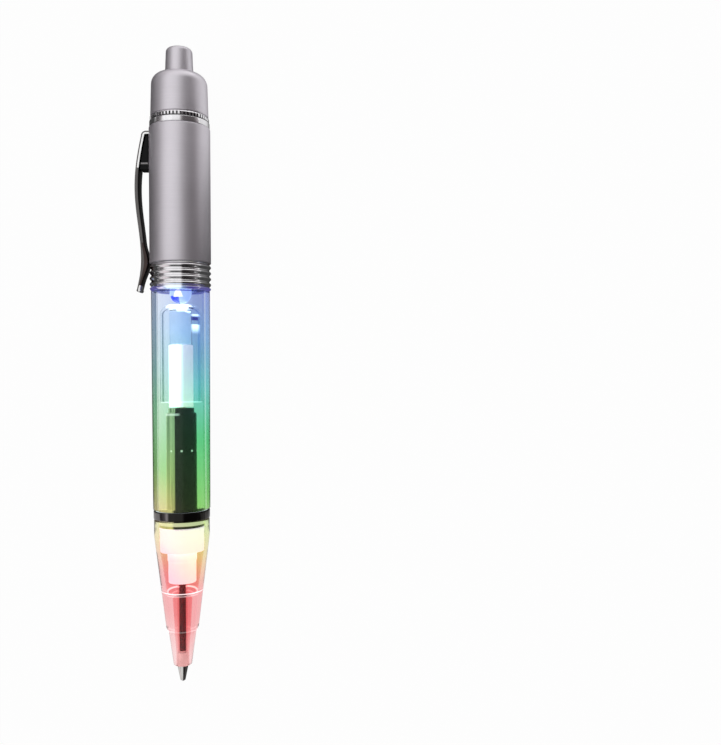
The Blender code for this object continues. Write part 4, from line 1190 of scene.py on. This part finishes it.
class PEN_OT_writing_point(Operator):
    """Turn the writing point and its ball"""

    bl_idname = "pen.writing_point"
    bl_label = "Writing point"

    def execute(self, context):
        colours = context.scene.pen_colours
        nickel = plated_finish("nickel_silver", colours.nickel, 0.08)
        leans = [radians(-20 + 11 * step) for step in range(10)]
        cup = [(0.5 * cos(lean), BALL + 0.5 * sin(lean)) for lean in leans]
        cone = [(0.6, 7.0, 0), (1.25, 7.0, 0.08), (1.25, 3.6, 0.25), (0.58, 0.28, 0.05), (*cup[0], 0)]
        point = [(0.0, 9.8), (0.6, 9.8), (0.6, 7.0), *rounded(cone)[1:-1], *cup, (0.0, 0.95)]
        turn_piece("point_cone", point, 48, nickel, "writing_point")
        leans = [pi * step / 16 for step in range(17)]
        ball = [(BALL * sin(lean), BALL + BALL * cos(lean)) for lean in leans]
        ball[0], ball[-1] = (0.0, 2 * BALL), (0.0, 0.0)
        steel = steel_finish("ball_steel", (0.70, 0.70, 0.72))
        turn_piece("point_ball", ball, 32, steel, "writing_ball", "ball")
        return {"FINISHED"}


class PEN_OT_clip(Operator):
    """Bend the clip's strip, and finish the block under it"""

    bl_idname = "pen.clip"
    bl_label = "Clip"

    def execute(self, context):
        shape, colours = context.scene.pen_shape, context.scene.pen_colours
        mesh = clip_strip(clip_spine(), shape.clip_edge / MM)
        steel = steel_finish("clip_steel", colours.steel)
        clip = dress("clip_strip", mesh, steel, "pocket_clip", "clip")
        # painted shade on the inner face and swell, and a painted highlight on the bright sides
        clip.data.materials.append(steel_finish("clip_inner_steel", (0.060, 0.045, 0.042)))
        clip.data.materials.append(steel_finish("clip_painted_highlight_steel", (0.97, 0.96, 0.96)))
        recoat("clip_block", block_finish(colours))
        return {"FINISHED"}


class PEN_OT_inner_works(Operator):
    """Finish the cells, the board, the contacts, the switch and the springs inside the pen"""

    bl_idname = "pen.inner_works"
    bl_label = "Inner works"

    def execute(self, context):
        shape, colours = context.scene.pen_shape, context.scene.pen_colours
        white = moulded_finish("battery_tube_white", scaled(colours.white, 0.9))
        black = moulded_finish("switch_black", scaled(colours.black, 1.6), 0.46)
        steel = steel_finish("spring_wire", (0.58, 0.58, 0.60))
        can = plated_finish("cell_can", (0.78, 0.77, 0.76), 0.20)
        nickel = plated_finish("contact_nickel", colours.nickel, 0.22)
        for node, material in {
            "battery_tube": white,
            "switch_plunger": white,
            "switch_body": black,
            "contact_spring": steel,
            "cell_contact": nickel,
            "button_cell_1": can,
            "button_cell_2": can,
            "button_cell_3": can,
            "circuit_board": board_finish(),
        }.items():
            recoat(node, material)
        return_spring(steel)
        return {"FINISHED"}


class PEN_PT_panel(Panel):
    """Lists the pen's pieces and their settings"""

    bl_idname = "PEN_PT_panel"
    bl_label = "Light-up pen"
    bl_space_type = "VIEW_3D"
    bl_region_type = "UI"
    bl_category = "Pen"

    def draw(self, context):
        for step in STEPS:
            self.layout.operator(step.bl_idname)
        for group in (context.scene.pen_shape, context.scene.pen_colours, context.scene.pen_stage):
            box = self.layout.box()
            for key in group.__annotations__:
                box.prop(group, key)


GROUPS = {"pen_shape": PenShape, "pen_colours": PenColours, "pen_stage": PenStage}
STEPS = (
    PEN_OT_stage,
    PEN_OT_satin_shells,
    PEN_OT_bright_rings,
    PEN_OT_clear_shells,
    PEN_OT_light_column,
    PEN_OT_lamp,
    PEN_OT_dark_metal,
    PEN_OT_refill,
    PEN_OT_writing_point,
    PEN_OT_clip,
    PEN_OT_inner_works,
)


def register():
    for item in (*GROUPS.values(), *STEPS, PEN_PT_panel):
        bpy.utils.register_class(item)
    for key, group in GROUPS.items():
        setattr(bpy.types.Scene, key, PointerProperty(type=group))


def unregister():
    for key in GROUPS:
        delattr(bpy.types.Scene, key)
    for item in (PEN_PT_panel, *reversed(STEPS), *GROUPS.values()):
        bpy.utils.unregister_class(item)


def main():
    register()
    for step in STEPS:
        group, name = step.bl_idname.split(".")
        getattr(getattr(bpy.ops, group), name)()


if __name__ == "__main__":
    main()
